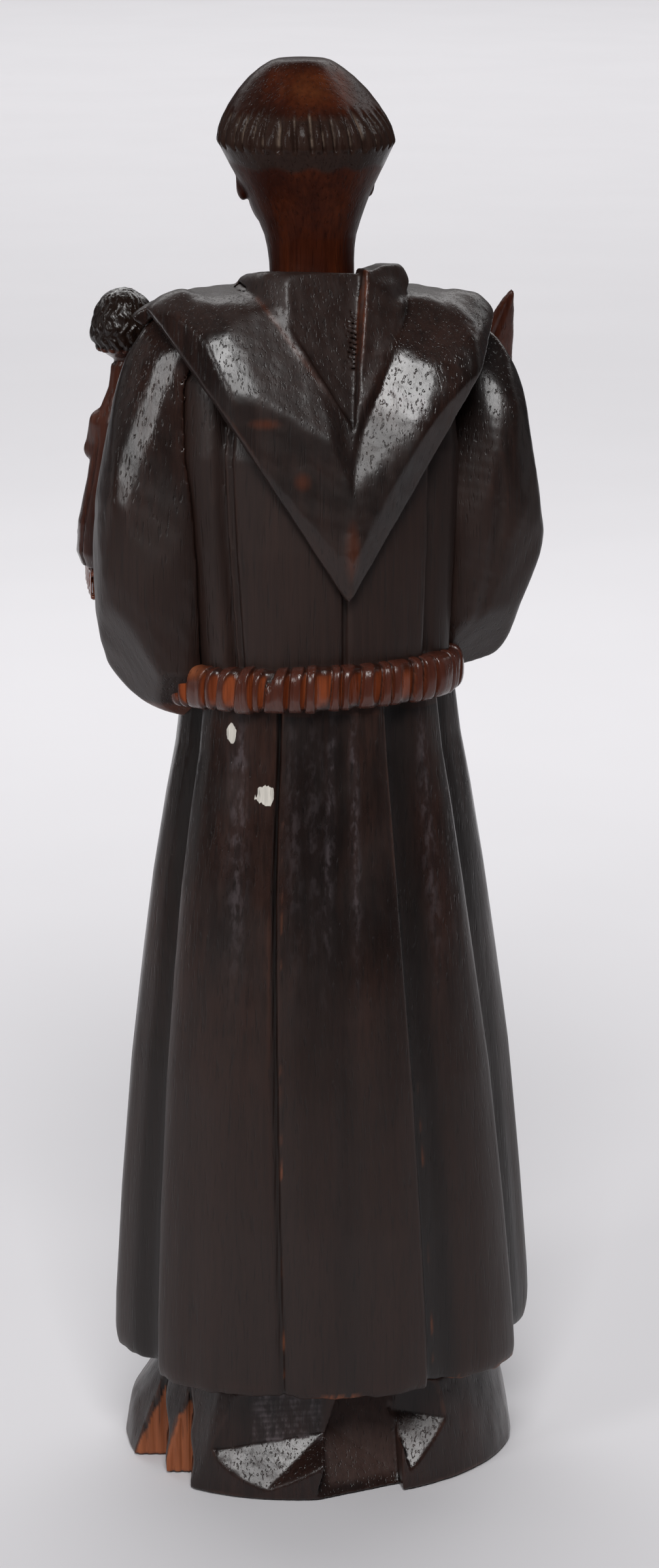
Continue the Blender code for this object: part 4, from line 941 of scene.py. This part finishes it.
def chips(P):
    """Three chips cut round the foot with a broad gouge; negative where wood is gone."""
    x = P[0]
    chatter = 0.10 * np.sin(P[2] * 2.9 + 0.3 * np.sin(x * 0.4))
    floor = plane(P, (22.5, 41.4, 2.2), (0.165, 0.810, 0.563)) + 0.05 * wobble(P, 6, 55)
    back = np.maximum(-tilted(P, -12.3, 36.9, 23, 12) - chatter, -tilted(P, -6.0, 34.9, -3, 12))
    one = np.maximum(np.maximum(-floor, back), x - 37.0 - 0.15 * (P[2] - 6.0))
    one = np.maximum(one, -plane(P, (22.6, 39.7, 4.6), (0.413, 0.510, 0.755)))
    two = np.maximum(np.maximum(-tilted(P, -2, 32.0, 17, 14), -tilted(P, 14, 31.0, 34, 14)), np.maximum(x - 9.0 + 0.3 * (P[2] - 8.0), -14.4 - x))
    floor = plane(P, (-21.6, 39.8, 9.4), (0.188, 0.779, 0.598)) + 0.05 * wobble(P, 5, 56)
    three = np.maximum(np.maximum(-floor, -tilted(P, -18, 24.3, 0, 18)), x + 14.4 - 0.25 * (P[2] - 14.0))
    return np.minimum(np.minimum(one, two), three)


def plinth_field(P):
    x, y, z = P
    d = drum(P, 56.0, 44.6, 57.0, 0.10)
    for cut in ((-92, 52.0, 26, 18), (-76, 51.4, 18, 12), (-64, 48.4, 14, 16), (66, 52.0, 20, 18), (84, 54.4, 14, 20), (112, 55.5, 30, 16), (132, 55.0, 22, 14), (150, 55.5, 36, 16), (172, 54.5, 28, 17), (192, 54.6, 38, 15), (212, 56.0, 30, 16), (232, 55.0, 24, 14), (250, 54.0, 34, 16)):
        d = smax(d, tilted(P, *cut), 0.5)
    d = smax(d, -chips(P), 0.3)
    d = d + 0.10 * wobble(P, 11, 51)
    d = smax(d, z - 29.9, 0.6)
    d = smax(d, -z + 0.05, 0.5)
    across = x * math.cos(VIEW) - y * math.sin(VIEW)
    towards = x * math.sin(VIEW) + y * math.cos(VIEW)
    splinter = 0.26 * np.sin(across * 2.3 + 0.4 * np.sin(z * 0.5)) + 0.16 * np.sin(across * 5.1 + 1.0)
    d = np.maximum(d, -np.maximum(44.6 + 0.5 * np.sin(z * 0.4) - across, 13.5 + splinter - towards))
    d = np.maximum(d, -np.maximum(37.2 + 0.4 * np.sin(z * 0.5 + 1) - across, 26.0 + splinter - towards))
    return d


def plinth_raw(P, N):
    across = P[0] * math.cos(VIEW) - P[1] * math.sin(VIEW)
    towards = P[0] * math.sin(VIEW) + P[1] * math.cos(VIEW)
    facing = np.clip((N[0] * math.sin(VIEW) + N[1] * math.cos(VIEW) - 0.55) / 0.2, 0, 1)
    outer = (across > 44.0) & (np.abs(towards - 13.5) < 1.6)
    inner = (across > 36.8) & (across < 45.4) & (np.abs(towards - 26.0) < 1.6)
    line = 22.0 - np.where(outer, np.clip(across - 45.0, 0, 12) * 2.2, np.clip(across - 38.0, 0, 8) * 1.3) + 0.6 * np.sin(across * 1.7)
    return facing * (outer | inner) * np.clip((line - P[2]) / 1.0, 0, 1)


def plinth_painted_sheen(P, N):
    """Painted sheen: lighter strokes across the upper face of the left chip."""
    x, y, z = P
    here = np.clip((28.0 - x) / 2.0, 0, 1) * np.clip((x - 6.5) / 2.0, 0, 1) * np.clip((z - 13.5) / 1.5, 0, 1) * (y > 28)
    return 0.95 * here * (0.62 + 0.38 * np.sin(z * 3.3 + 0.10 * x))


def plinth_matte(P, N):
    """The middle chip was never varnished to a gloss."""
    x, y, z = P
    return 0.85 * np.clip((8.0 - x) / 2.0, 0, 1) * np.clip((x + 15.5) / 2.0, 0, 1) * (y > 24) * np.clip((z - 2.0) / 2.0, 0, 1)


carved("plinth_carving", plinth_field, (-60, -60, -2), (60, 47, 32), 0.62, "friar", ["base_plinth"], PLINTH, {"raw": plinth_raw, "painted_sheen": plinth_painted_sheen, "matte": plinth_matte})


# ------------------------------------------------------------------ cord round the waist
def cord_height(bearing):
    r = np.radians(bearing)
    return 231.0 + 2.5 * np.cos(r) + 1.0 * np.sin(r)


def cord_mesh():
    """A carved cord: blocks parted by slanting gouge cuts, each with one flat and one scooped side."""
    n, m = int(1500 / COARSE), int(30 / COARSE) // 2 * 2
    bearing = np.linspace(0, 360, n, endpoint=False)
    r = np.radians(bearing)
    a, back, front, cx = rows_at(TORSO_ROWS, np.full(n, 230.0))
    b = np.where(np.cos(r) >= 0, back, front)
    rest = 1.6 - 4.4 * np.exp(-(((bearing - 90.0) / 24.0) ** 2))
    centre = np.stack([cx - (a + rest) * np.sin(r), (b + rest) * np.cos(r), cord_height(bearing)], 1)
    step = np.linalg.norm(np.roll(centre, -1, 0) - centre, axis=1)
    run = np.concatenate([[0], np.cumsum(step)[:-1]]) / step.sum()
    turns = round(step.sum() / 4.7)
    run = run + (0.20 * np.sin(2 * math.pi * run * 19) + 0.14 * np.sin(2 * math.pi * run * 31 + 1.0)) / turns
    out = np.stack([-np.sin(r) / a, np.cos(r) / b, 0 * r], 1)
    out /= np.linalg.norm(out, axis=1)[:, None]
    rng = np.random.default_rng(8)
    lean, tall, proud, wide, scoop = (rng.uniform(lo, hi, turns) for lo, hi in ((-0.10, 0.20), (0.94, 1.05), (0.92, 1.08), (0.22, 0.34), (0.12, 0.36)))
    verts, cut, petal = [], [], []
    for k in range(m):
        v = 2 * math.pi * k / m
        s = math.sin(v)
        lay = run * turns - 0.10 * s
        cell = np.floor(lay).astype(int) % turns
        f = lay % 1.0
        # a cut at the end of each block, crescent-shaped: wider in the middle of the cord's height
        width = (wide[cell] + scoop[cell] * max(0.0, 1 - s * s)) * 1.0
        into = np.clip((f - (1.0 - width) + lean[cell] * s * 0.5) / np.maximum(width, 0.05), 0, 1)
        bead = (1.0 - 0.42 * np.sin(into * math.pi * 0.5) ** 1.3) * (0.80 + 0.20 * np.clip(f / 0.07, 0, 1)) * proud[cell]
        bead = bead * (1.0 - 0.05 * np.cos(2 * math.pi * f))
        # painted shade: darker in the gap at the end of each block and along the cord's top and bottom edges
        cut.append(np.maximum(np.clip((f - 0.90) / 0.06, 0, 1), np.clip((abs(s) - 0.62) / 0.3, 0, 0.8)))
        petal.append(np.clip(1.0 - into / 0.18, 0, 1) * 0.85)
        flat = np.sign(math.cos(v)) * abs(math.cos(v)) ** 0.62
        high = np.sign(s) * abs(s) ** 0.80
        reach = 4.5 * (bead if math.cos(v) > 0 else bead * 0 + 1.0) * flat
        verts.append(centre + out * reach[:, None] + np.array([0, 0, 1.0]) * (6.2 * (0.80 + 0.20 * bead) * tall[cell] * high)[:, None])
    verts = np.stack(verts, 1).reshape(-1, 3)
    i, k = np.meshgrid(np.arange(n), np.arange(m), indexing="ij")
    faces = np.stack([i * m + k, ((i + 1) % n) * m + k, ((i + 1) % n) * m + (k + 1) % m, i * m + (k + 1) % m], -1).reshape(-1, 4)
    return verts, faces[:, ::-1], np.stack(cut, 1).ravel(), np.stack(petal, 1).ravel()


def cord_raw(P, N):
    return 0.9 * spot(P, (41.0, 12.0, 237.0), (4.0, 9.0, 2.6))


verts, faces, cut, petal = cord_mesh()
# the dark mask on the cord is painted shade in its gaps and along its edges
make("cord_carving", verts, faces, "friar", ["cord_belt"], CORD, {"raw": cord_raw, "dark": lambda P, N: cut, "lay": lambda P, N: petal})


def tail_mesh():
    """The cord's hanging end: twisted like the belt, with knots, lying on the skirt."""
    n, m = int(420 / COARSE), 20
    z = np.linspace(226.0, 108.0, n)
    bearing = np.full(n, 172.0) + 1.2 * np.sin(z / 19.0)
    a, back, front, cx = rows_at(SKIRT_ROWS, z)
    off = np.array([float(skirt_offset(b, (WAIST - h) / (WAIST - 34.0))) for b, h in zip(bearing, np.minimum(z, WAIST))]) + 1.6
    r = np.radians(bearing)
    centre = np.stack([cx - (a + off) * np.sin(r), (front + off) * np.cos(r), z], 1)
    knots = sum(np.exp(-(((z - c) / 4.6) ** 2)) for c in (190.0, 162.0, 134.0))
    end = np.clip((z - 108.0) / 3.0, 0, 1) ** 0.5
    rings = []
    for i in range(n):
        v = np.linspace(0, 2 * math.pi, m, endpoint=False)
        twist = z[i] / 3.6 + v / (2 * math.pi) * 2
        bead = 1.0 - 0.16 * (1 - 0.6 * knots[i]) * np.abs(np.sin(math.pi * twist)) ** 3
        wrap = 1.0 - 0.10 * knots[i] * np.abs(np.sin(z[i] * 1.3 + v)) ** 3
        size = (2.7 + 1.5 * knots[i]) * bead * wrap * (0.25 + 0.75 * end[i])
        rings.append(centre[i] + np.stack([size * np.cos(v), size * np.sin(v), 0 * v], 1))
    return lofted(rings[::-1])


verts, faces = tail_mesh()
make("cord_tail_carving", verts, faces, "friar", ["cord_tail"], CORD)


# ------------------------------------------------------------------ hands, book, lily
def finger(P, points, r0, r1):
    n = len(points)
    return chain(P, [(p, r0 + (r1 - r0) * i / (n - 1)) for i, p in enumerate(points)], 0.8)


def left_hand_field(P):
    d = capsule(P, (44.4, -27.0, 235.8), (43.4, -46.0, 240.4), 5.2, 5.4)
    palm = block(P, (43.0, -51.0, 242.0), (7.2, 8.0, 3.2), 2.6, rot("Z", -4))
    d = smin(d, palm, 3.5)
    for i, x in enumerate((36.6, 40.6, 44.6, 48.6)):
        long = (9.0, 11.0, 10.4, 8.0)[i]
        d = smin(d, finger(P, ((x, -55.0, 242.2), (x - 0.3, -58.0 - long * 0.45, 242.4), (x - 0.6, -56.0 - long, 244.4)), 2.15, 1.75), 0.9)
    d = smin(d, finger(P, ((49.0, -47.0, 242.0), (53.4, -51.0, 243.2), (55.0, -55.6, 245.2)), 2.5, 2.0), 1.6)
    return np.maximum(d + 0.06 * wobble(P, 7, 61), 0.25 - (246.35 - P[2] if False else block(P, (45.0, -47.0, 250.5), (13.7, 17.2, 4.1), 0.4, rot("Z", -6))))


carved("left_hand_carving", left_hand_field, (30, -70, 228), (60, -24, 250), 0.5, "friar", ["left_hand"], FLESH)

LILY_TIP = Vector((-59.4, -23.0, 332.2))
LILY_AXIS = (LILY_TIP - Vector((-34.6, -46.6, 258.0))).normalized()
LILY_LOW = LILY_TIP - LILY_AXIS * 118.0
LILY_SIDE = Vector((0, 1, 0)).cross(LILY_AXIS).normalized()
LILY_FACE = LILY_AXIS.cross(LILY_SIDE).normalized()
FIST = Vector((-34.0, -44.0, 258.0))


def right_hand_field(P):
    d = capsule(P, (-36.6, -26.0, 250.0), (-34.6, -41.0, 256.4), 5.0, 5.6)
    d = smin(d, ellipsoid(P, (-33.6, -43.2, 258.2), (6.6, 6.4, 8.8)), 3.0)
    centre = LILY_LOW + LILY_AXIS * (FIST - LILY_LOW).dot(LILY_AXIS)
    for i in range(4):
        c = centre + LILY_AXIS * (6.0 - 4.1 * i)
        wrap = []
        for k in range(6):
            t = math.radians(150 - 46 * k)
            p = c + LILY_SIDE * (4.3 * math.cos(t)) - LILY_FACE * (4.3 * math.sin(t))
            wrap.append(tuple(p))
        d = smin(d, finger(P, wrap, 2.2, 1.85), 0.7)
    thumb = [tuple(centre + LILY_AXIS * 7.0 + LILY_SIDE * -5.2), tuple(centre + LILY_AXIS * 9.6 - LILY_FACE * 4.6 - LILY_SIDE * 2.0), tuple(centre + LILY_AXIS * 9.2 - LILY_FACE * 5.0 + LILY_SIDE * 3.0)]
    d = smin(d, finger(P, thumb, 2.4, 1.9), 1.2)
    hole = capsule(P, tuple(centre - LILY_AXIS * 30), tuple(centre + LILY_AXIS * 30), 1.95)
    return np.maximum(d + 0.06 * wobble(P, 7, 62), -hole)


carved("right_hand_carving", right_hand_field, (-48, -56, 244), (-22, -24, 274), 0.5, "friar", ["right_hand"], FLESH)


def book_field(P):
    turn = rot("Z", -6)
    c = (45.0, -47.0, 250.5)
    body = block(P, c, (13.5, 17.0, 4.0), 0.5, turn)
    pages = block(P, (c[0] - 1.0, c[1], c[2]), (14.0, 18.2, 2.7), 0.2, turn)
    keep = block(P, (c[0] + 0.5, c[1], c[2]), (12.3, 16.0, 3.4), 0.2, turn)
    d = np.maximum(body, -smax(pages, -keep, 0.1))
    q = [P[i] - c[i] for i in range(3)]
    lx = sum(turn[j][0] * q[j] for j in range(3))
    ly = sum(turn[j][1] * q[j] for j in range(3))
    for s in (-9.0, -3.0, 3.0, 9.0):
        rib = np.sqrt(np.maximum(np.abs(ly - s) - 0.3, 0) ** 2 + np.maximum(np.abs(q[2]) - 3.4, 0) ** 2 + (lx - 13.1) ** 2) - 0.6
        d = smin(d, rib, 0.5)
    leaf = np.abs((q[2] * 1.6) % 1.0 - 0.5)
    return np.maximum(d + 0.05 * wobble(P, 6, 63) + 0.10 * leaf * (np.abs(q[2]) < 2.6), d - 0.12)


carved("book_carving", book_field, (27, -68, 244), (63, -26, 257), 0.5, "friar", ["book"], CORD)


def lily_field(P):
    q = [P[i] - LILY_LOW[i] for i in range(3)]
    s = sum(q[i] * LILY_AXIS[i] for i in range(3))
    u = sum(q[i] * LILY_SIDE[i] for i in range(3))
    w = sum(q[i] * LILY_FACE[i] for i in range(3))
    stalk = np.maximum(np.maximum(np.sqrt(u**2 + w**2) - 1.65, -s), s - 100.0)
    ss, left, right = (68, 72, 78, 88, 97, 106, 114, 117.6, 118.2), (-1.0, -3.0, -6.0, -9.6, -8.6, -5.4, -2.2, -0.7, 0.0), (1.0, 2.2, 4.0, 4.6, 4.2, 3.2, 1.6, 0.5, 0.0)
    lo, hi = np.interp(s, ss, left), np.interp(s, ss, right)
    mid, half = (lo + hi) / 2, np.maximum((hi - lo) / 2, 0.05)
    inside = (u - mid) / half
    thick = 2.2 * np.clip(1.0 - np.abs(inside) ** 2.5, 0.0, 1.0) ** 0.5 * (0.55 + 0.45 * np.clip(half / 5, 0, 1))
    vein = 0.45 * np.exp(-((u / 0.5) ** 2)) + 0.25 * np.exp(-(((u - mid) / 0.4 - half) ** 2))
    leaf = np.maximum((np.abs(inside) - 1.0) * half * 0.8, (np.abs(w) - thick + vein) * 0.7)
    leaf = np.maximum(np.maximum(leaf, 68.0 - s), s - 118.2)
    d = smin(stalk, leaf, 1.2)
    for k, (at, side) in enumerate(((42.0, 1), (50.0, -1))):
        a = LILY_LOW + LILY_AXIS * at
        b = a + LILY_AXIS * 13.0 + LILY_SIDE * (3.4 * side)
        d = smin(d, capsule(P, tuple(a), tuple(b), 1.2, 0.5, (tuple(LILY_FACE), 1.5)), 0.8)
    return d + 0.05 * wobble(P, 6, 64)


LO = [min(LILY_LOW[i], LILY_TIP[i]) - 8 for i in range(3)]
HI = [max(LILY_LOW[i], LILY_TIP[i]) + 8 for i in range(3)]
carved("lily_carving", lily_field, LO, HI, 0.45, "lily", ["lily_stem"], LILY)

# ------------------------------------------------------------------ child
CX, CY, SEAT = 49.5, -41.0, 254.8
CHILD_HEAD = (CX, CY + 7.0, 324.0)


def child_field(P):
    x, y, z = P
    rows = ((SEAT, 11.5, 12.5, 0.0), (SEAT + 4, 13.0, 13.6, 0.0), (SEAT + 13, 12.6, 11.8, 1.5), (SEAT + 25, 10.4, 8.6, 3.5), (SEAT + 36, 8.6, 7.0, 5.0), (SEAT + 42, 8.2, 6.2, 5.6), (SEAT + 47, 6.2, 5.2, 6.0), (SEAT + 52, 4.2, 4.0, 6.2), (SEAT + 60, 3.2, 3.2, 6.4))
    a, b, lean = rows_at(rows, z)
    u, v = x - CX, y - CY - lean
    k0 = np.sqrt((u / a) ** 2 + (v / b) ** 2)
    t = np.degrees(np.arctan2(u, v))
    pleat = 0.7 * np.exp(-((((t + 12) % 34) - 17) / 3.2) ** 2) * np.clip((SEAT + 44 - z) / 12, 0, 1)
    d = np.maximum(np.maximum((k0 - 1.0) * np.minimum(a, b) + pleat, SEAT + 0.1 - z), z - SEAT - 58)
    for s in (-1, 1):
        d = smin(d, chain(P, (((CX + s * 5.5, CY - 6.0, SEAT + 6.2), 5.2), ((CX + s * 5.6, CY - 17.0, SEAT + 6.0), 4.2), ((CX + s * 5.4, CY - 21.5, SEAT + 1.8), 3.0)), 2.0), 2.5)
        foot = capsule(P, (CX + s * 5.4, CY - 20.0, SEAT + 2.4), (CX + s * 5.8, CY - 24.0, SEAT + 2.2), 2.1, 1.5)
        d = smin(d, np.maximum(foot, SEAT + 0.3 - z), 1.2)
        arm = chain(P, (((CX + s * 6.4, CY + 4.4, SEAT + 42.0), 3.2), ((CX + s * 7.3, CY + 0.4, SEAT + 33.4), 3.0), ((CX + s * 5.8, CY - 9.0, SEAT + 32.4), 2.5)), 1.5)
        d = smin(d, arm, 1.4)
        d = smin(d, ellipsoid(P, (CX + s * 6.2, CY - 11.2, SEAT + 33.4), (1.9, 2.4, 1.7)), 0.8)
    d = smin(d, capsule(P, (CX - 2.0, CY + 6.0, SEAT + 46), (CX - 0.6, CY + 7.0, SEAT + 62), 3.6, 3.4), 2.0)
    H = [x - CHILD_HEAD[0], y - CHILD_HEAD[1], z - CHILD_HEAD[2]]
    head = smin(ellipsoid(H, (0, 0.6, 0.6), (8.6, 8.8, 9.6)), ellipsoid(H, (0, -3.2, -4.6), (5.8, 5.0, 5.2)), 3.0)
    for s in (-1, 1):
        head = smax(head, -ellipsoid(H, (s * 3.3, -9.2, -1.2), (2.2, 1.6, 1.5)), 1.0)
        head = smin(head, ellipsoid(H, (s * 3.2, -7.0, -1.4), (1.7, 1.2, 1.1)), 0.4)
        head = smin(head, ellipsoid(H, (s * 8.4, 0.0, -2.0), (1.2, 2.0, 2.6)), 0.5)
    head = smin(head, chain(H, (((0, -8.2, 0.0), 0.7), ((0, -9.4, -3.2), 1.1)), 0.5), 0.7)
    head = smin(head, ellipsoid(H, (0, -7.6, -5.4), (2.0, 1.1, 0.55)), 0.4)
    head = smin(head, ellipsoid(H, (0, -7.4, -6.4), (1.7, 1.0, 0.55)), 0.4)
    # hair: wavy locks gouged from the crown down
    turn = np.arctan2(H[0], H[1] - 0.6)
    wave = turn * 10.0 / (2 * math.pi) * 2.0 + 0.34 * np.sin(H[2] * 0.95 + turn * 2.0) + 0.12 * np.sin(H[2] * 2.1 + turn * 5.0)
    cut = np.abs(wave - np.round(wave)) * 2.0
    hair = ellipsoid(H, (0, 0.6, -0.6), (9.3, 9.5, 11.4)) + 0.95 * (1 - cut) ** 2.2 + 0.35 * np.abs(np.sin(H[2] * 0.8 + 3.0 * np.round(wave))) ** 4
    edge = np.maximum(np.minimum(-2.4 - H[1], 4.6 - H[2]), -7.0 - H[2])
    hair = smax(hair, edge, 0.6)
    head = smin(head, hair, 0.4)
    d = smin(d, head, 0.9)
    peg = np.maximum(np.sqrt((x - CX + 2.0) ** 2 + (y - CY + 1.0) ** 2) - 2.6, z - SEAT - 13.0)
    return np.maximum(d + 0.06 * wobble(P, 7, 71), -peg)


def child_hair(P, N):
    h = [P[i] - CHILD_HEAD[i] for i in range(3)]
    up = (h[2] > -6.0) & ((h[1] > -3.0) | (h[2] > 5.2))
    far = np.sqrt((h[0] / 8.6) ** 2 + ((h[1] - 0.6) / 8.8) ** 2 + ((h[2] - 0.6) / 9.6) ** 2)
    return np.where(up, np.clip((far - 0.90) / 0.05, 0, 1), 0.0)


carved("child_carving", child_field, (33, -70, 252), (66, -22, 338), 0.48, "child", ["child_figure"], CHILD, {"hair": child_hair})


# ------------------------------------------------------------------ feet
def foot_field(x0, turn):
    def field(P):
        m = rot("Z", turn)
        q = [P[0] - x0, P[1] + 42.0, P[2] - 30.3]
        q = [sum(m[j][i] * q[j] for j in range(3)) for i in range(3)]
        d = chain(q, (((0, 10, 3.4), 4.6), ((0, 0, 3.4), 4.6), ((0, -6.5, 2.0), 3.6)), 2.0, ((1, 0, 0), 0.85))
        for i in range(5):
            tx = -4.6 + 2.3 * i
            big = 1.9 if (i == 0) == (turn < 0) and i in (0, 4) or (i == 4) == (turn > 0) and i in (0, 4) else 1.35
            d = smin(d, capsule(q, (tx * 0.85, -6.0, 1.9), (tx, -10.0 + 0.3 * abs(i - 2), 1.4), 1.4, big * 0.82), 0.5)
        return np.maximum(d, -q[2] + 0.02)

    return field


carved("left_foot_carving", foot_field(11.0, 9.0), (1, -57, 29), (21, -28, 40), 0.4, "friar", ["left_foot"], FLESH)
carved("right_foot_carving", foot_field(-11.0, -9.0), (-21, -57, 29), (-1, -28, 40), 0.4, "friar", ["right_foot"], FLESH)

for name in ("waist_dowel", "base_dowel_left", "base_dowel_right", "left_shoulder_dowel", "right_shoulder_dowel", "book_dowel", "child_peg"):
    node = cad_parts[name]
    node.data.materials.clear()
    node.data.materials.append(BARE)

# ------------------------------------------------------------------ stage, light and camera


def plain(name, colour, roughness):
    n = Nodes(name)
    cloudy = n.noise(6.0, (1, 1, 1), 2.0)
    n.link(n.mix(n.ramp(cloudy, 0.3, 0.7), tuple(v * 0.985 for v in colour), colour), n.shader.inputs["Base Color"])
    n.shader.inputs["Roughness"].default_value = roughness
    n.shader.inputs["Specular IOR Level"].default_value = 0.2
    return n.mat


def sweep():
    """Wide pale floor that fills the picture behind the statue, seen from the camera."""
    away = Vector((-math.sin(VIEW), -math.cos(VIEW), 0.0))
    side = Vector((math.cos(VIEW), -math.sin(VIEW), 0.0))
    path = [(-0.5, 0.0), (1.0, 0.0), (3.0, 0.0), (12.0, 0.0)]
    verts, faces = [], []
    for along, up in path:
        for s in (-1.1, 1.1):
            p = away * along + side * s
            verts.append((p.x, p.y, up - 0.0002))
    for k in range(len(path) - 1):
        faces.append((2 * k, 2 * k + 1, 2 * k + 3, 2 * k + 2))
    mesh = bpy.data.meshes.new("studio_sweep")
    mesh.from_pydata(verts, [], faces)
    mesh.update()
    mesh.shade_smooth()
    obj = bpy.data.objects.new("studio_sweep", mesh)
    bpy.context.scene.collection.objects.link(obj)
    mesh.materials.append(plain("pale_paper", srgb(226, 224, 227), 0.9))


sweep()

towards_camera = Vector((math.sin(VIEW), math.cos(VIEW), 0.0))
image_right = Vector((-math.cos(VIEW), math.sin(VIEW), 0.0))


def from_view(right, near, up):
    """A point by its place in the picture: to the right, towards the camera, up."""
    return image_right * right + towards_camera * near + Vector((0, 0, up))


def softbox(name, at, aim, size, power, colour=(1, 1, 1)):
    data = bpy.data.lights.new(name, "AREA")
    data.shape = "RECTANGLE"
    data.size, data.size_y = size
    data.energy = power
    data.color = colour
    lamp = bpy.data.objects.new(name, data)
    lamp.location = at
    lamp.rotation_mode = "QUATERNION"
    lamp.rotation_quaternion = (Vector(aim) - Vector(at)).to_track_quat("-Z", "Y")
    bpy.context.scene.collection.objects.link(lamp)
    return lamp


softbox("key_softbox", from_view(0.0, 1.0, 1.15), (0, 0, 0.22), (0.50, 0.46), 12.0)
softbox("left_window", from_view(-0.92, 0.98, 0.73), (0.05, 0, 0.30), (0.26, 0.42), 3.6)
softbox("left_softbox", from_view(-1.2, -0.2, 0.6), (0, 0, 0.2), (0.5, 1.2), 0.7)
softbox("right_softbox", from_view(1.2, -0.3, 0.6), (0, 0, 0.2), (0.5, 1.2), 0.35)
softbox("backdrop_softbox", from_view(0.0, -0.85, 0.95), from_view(0, -0.95, 0.0), (2.4, 0.5), 8.6)
softbox("middle_softbox", from_view(0.0, -2.3, 2.3), from_view(0, -2.5, 0.0), (4.0, 1.4), 36.0)
softbox("far_softbox", from_view(0.0, -5.4, 3.2), from_view(0, -6.2, 0.0), (6.0, 4.4), 165.0)

world = bpy.data.worlds.new("studio_world")
world.use_nodes = True
bpy.context.scene.world = world
dim = world.node_tree.nodes["Background"]
dim.inputs["Color"].default_value = (0.93, 0.94, 1.0, 1.0)
dim.inputs["Strength"].default_value = 0.06
pale = world.node_tree.nodes.new("ShaderNodeBackground")
pale.inputs["Color"].default_value = (0.76, 0.75, 0.78, 1.0)
seen = world.node_tree.nodes.new("ShaderNodeLightPath")
either = world.node_tree.nodes.new("ShaderNodeMixShader")
world.node_tree.links.new(seen.outputs["Is Camera Ray"], either.inputs[0])
world.node_tree.links.new(dim.outputs[0], either.inputs[1])
world.node_tree.links.new(pale.outputs[0], either.inputs[2])
world.node_tree.links.new(either.outputs[0], world.node_tree.nodes["World Output"].inputs["Surface"])

camera = bpy.data.cameras.new("photo_camera")
camera.sensor_fit = "AUTO"
camera.sensor_width = 36.0
camera.lens = 97.05
eye = bpy.data.objects.new("photo_camera", camera)
bpy.context.scene.collection.objects.link(eye)
PITCH = math.radians(14.73)
eye.location = from_view(-0.002 + 0.004, 1.15, 0.50)
look = -towards_camera * math.cos(PITCH) - Vector((0, 0, math.sin(PITCH)))
eye.rotation_mode = "QUATERNION"
eye.rotation_quaternion = look.to_track_quat("-Z", "Y")
camera.clip_start, camera.clip_end = 0.05, 20.0
bpy.context.scene.camera = eye
bpy.context.scene.view_settings.view_transform = "Standard"
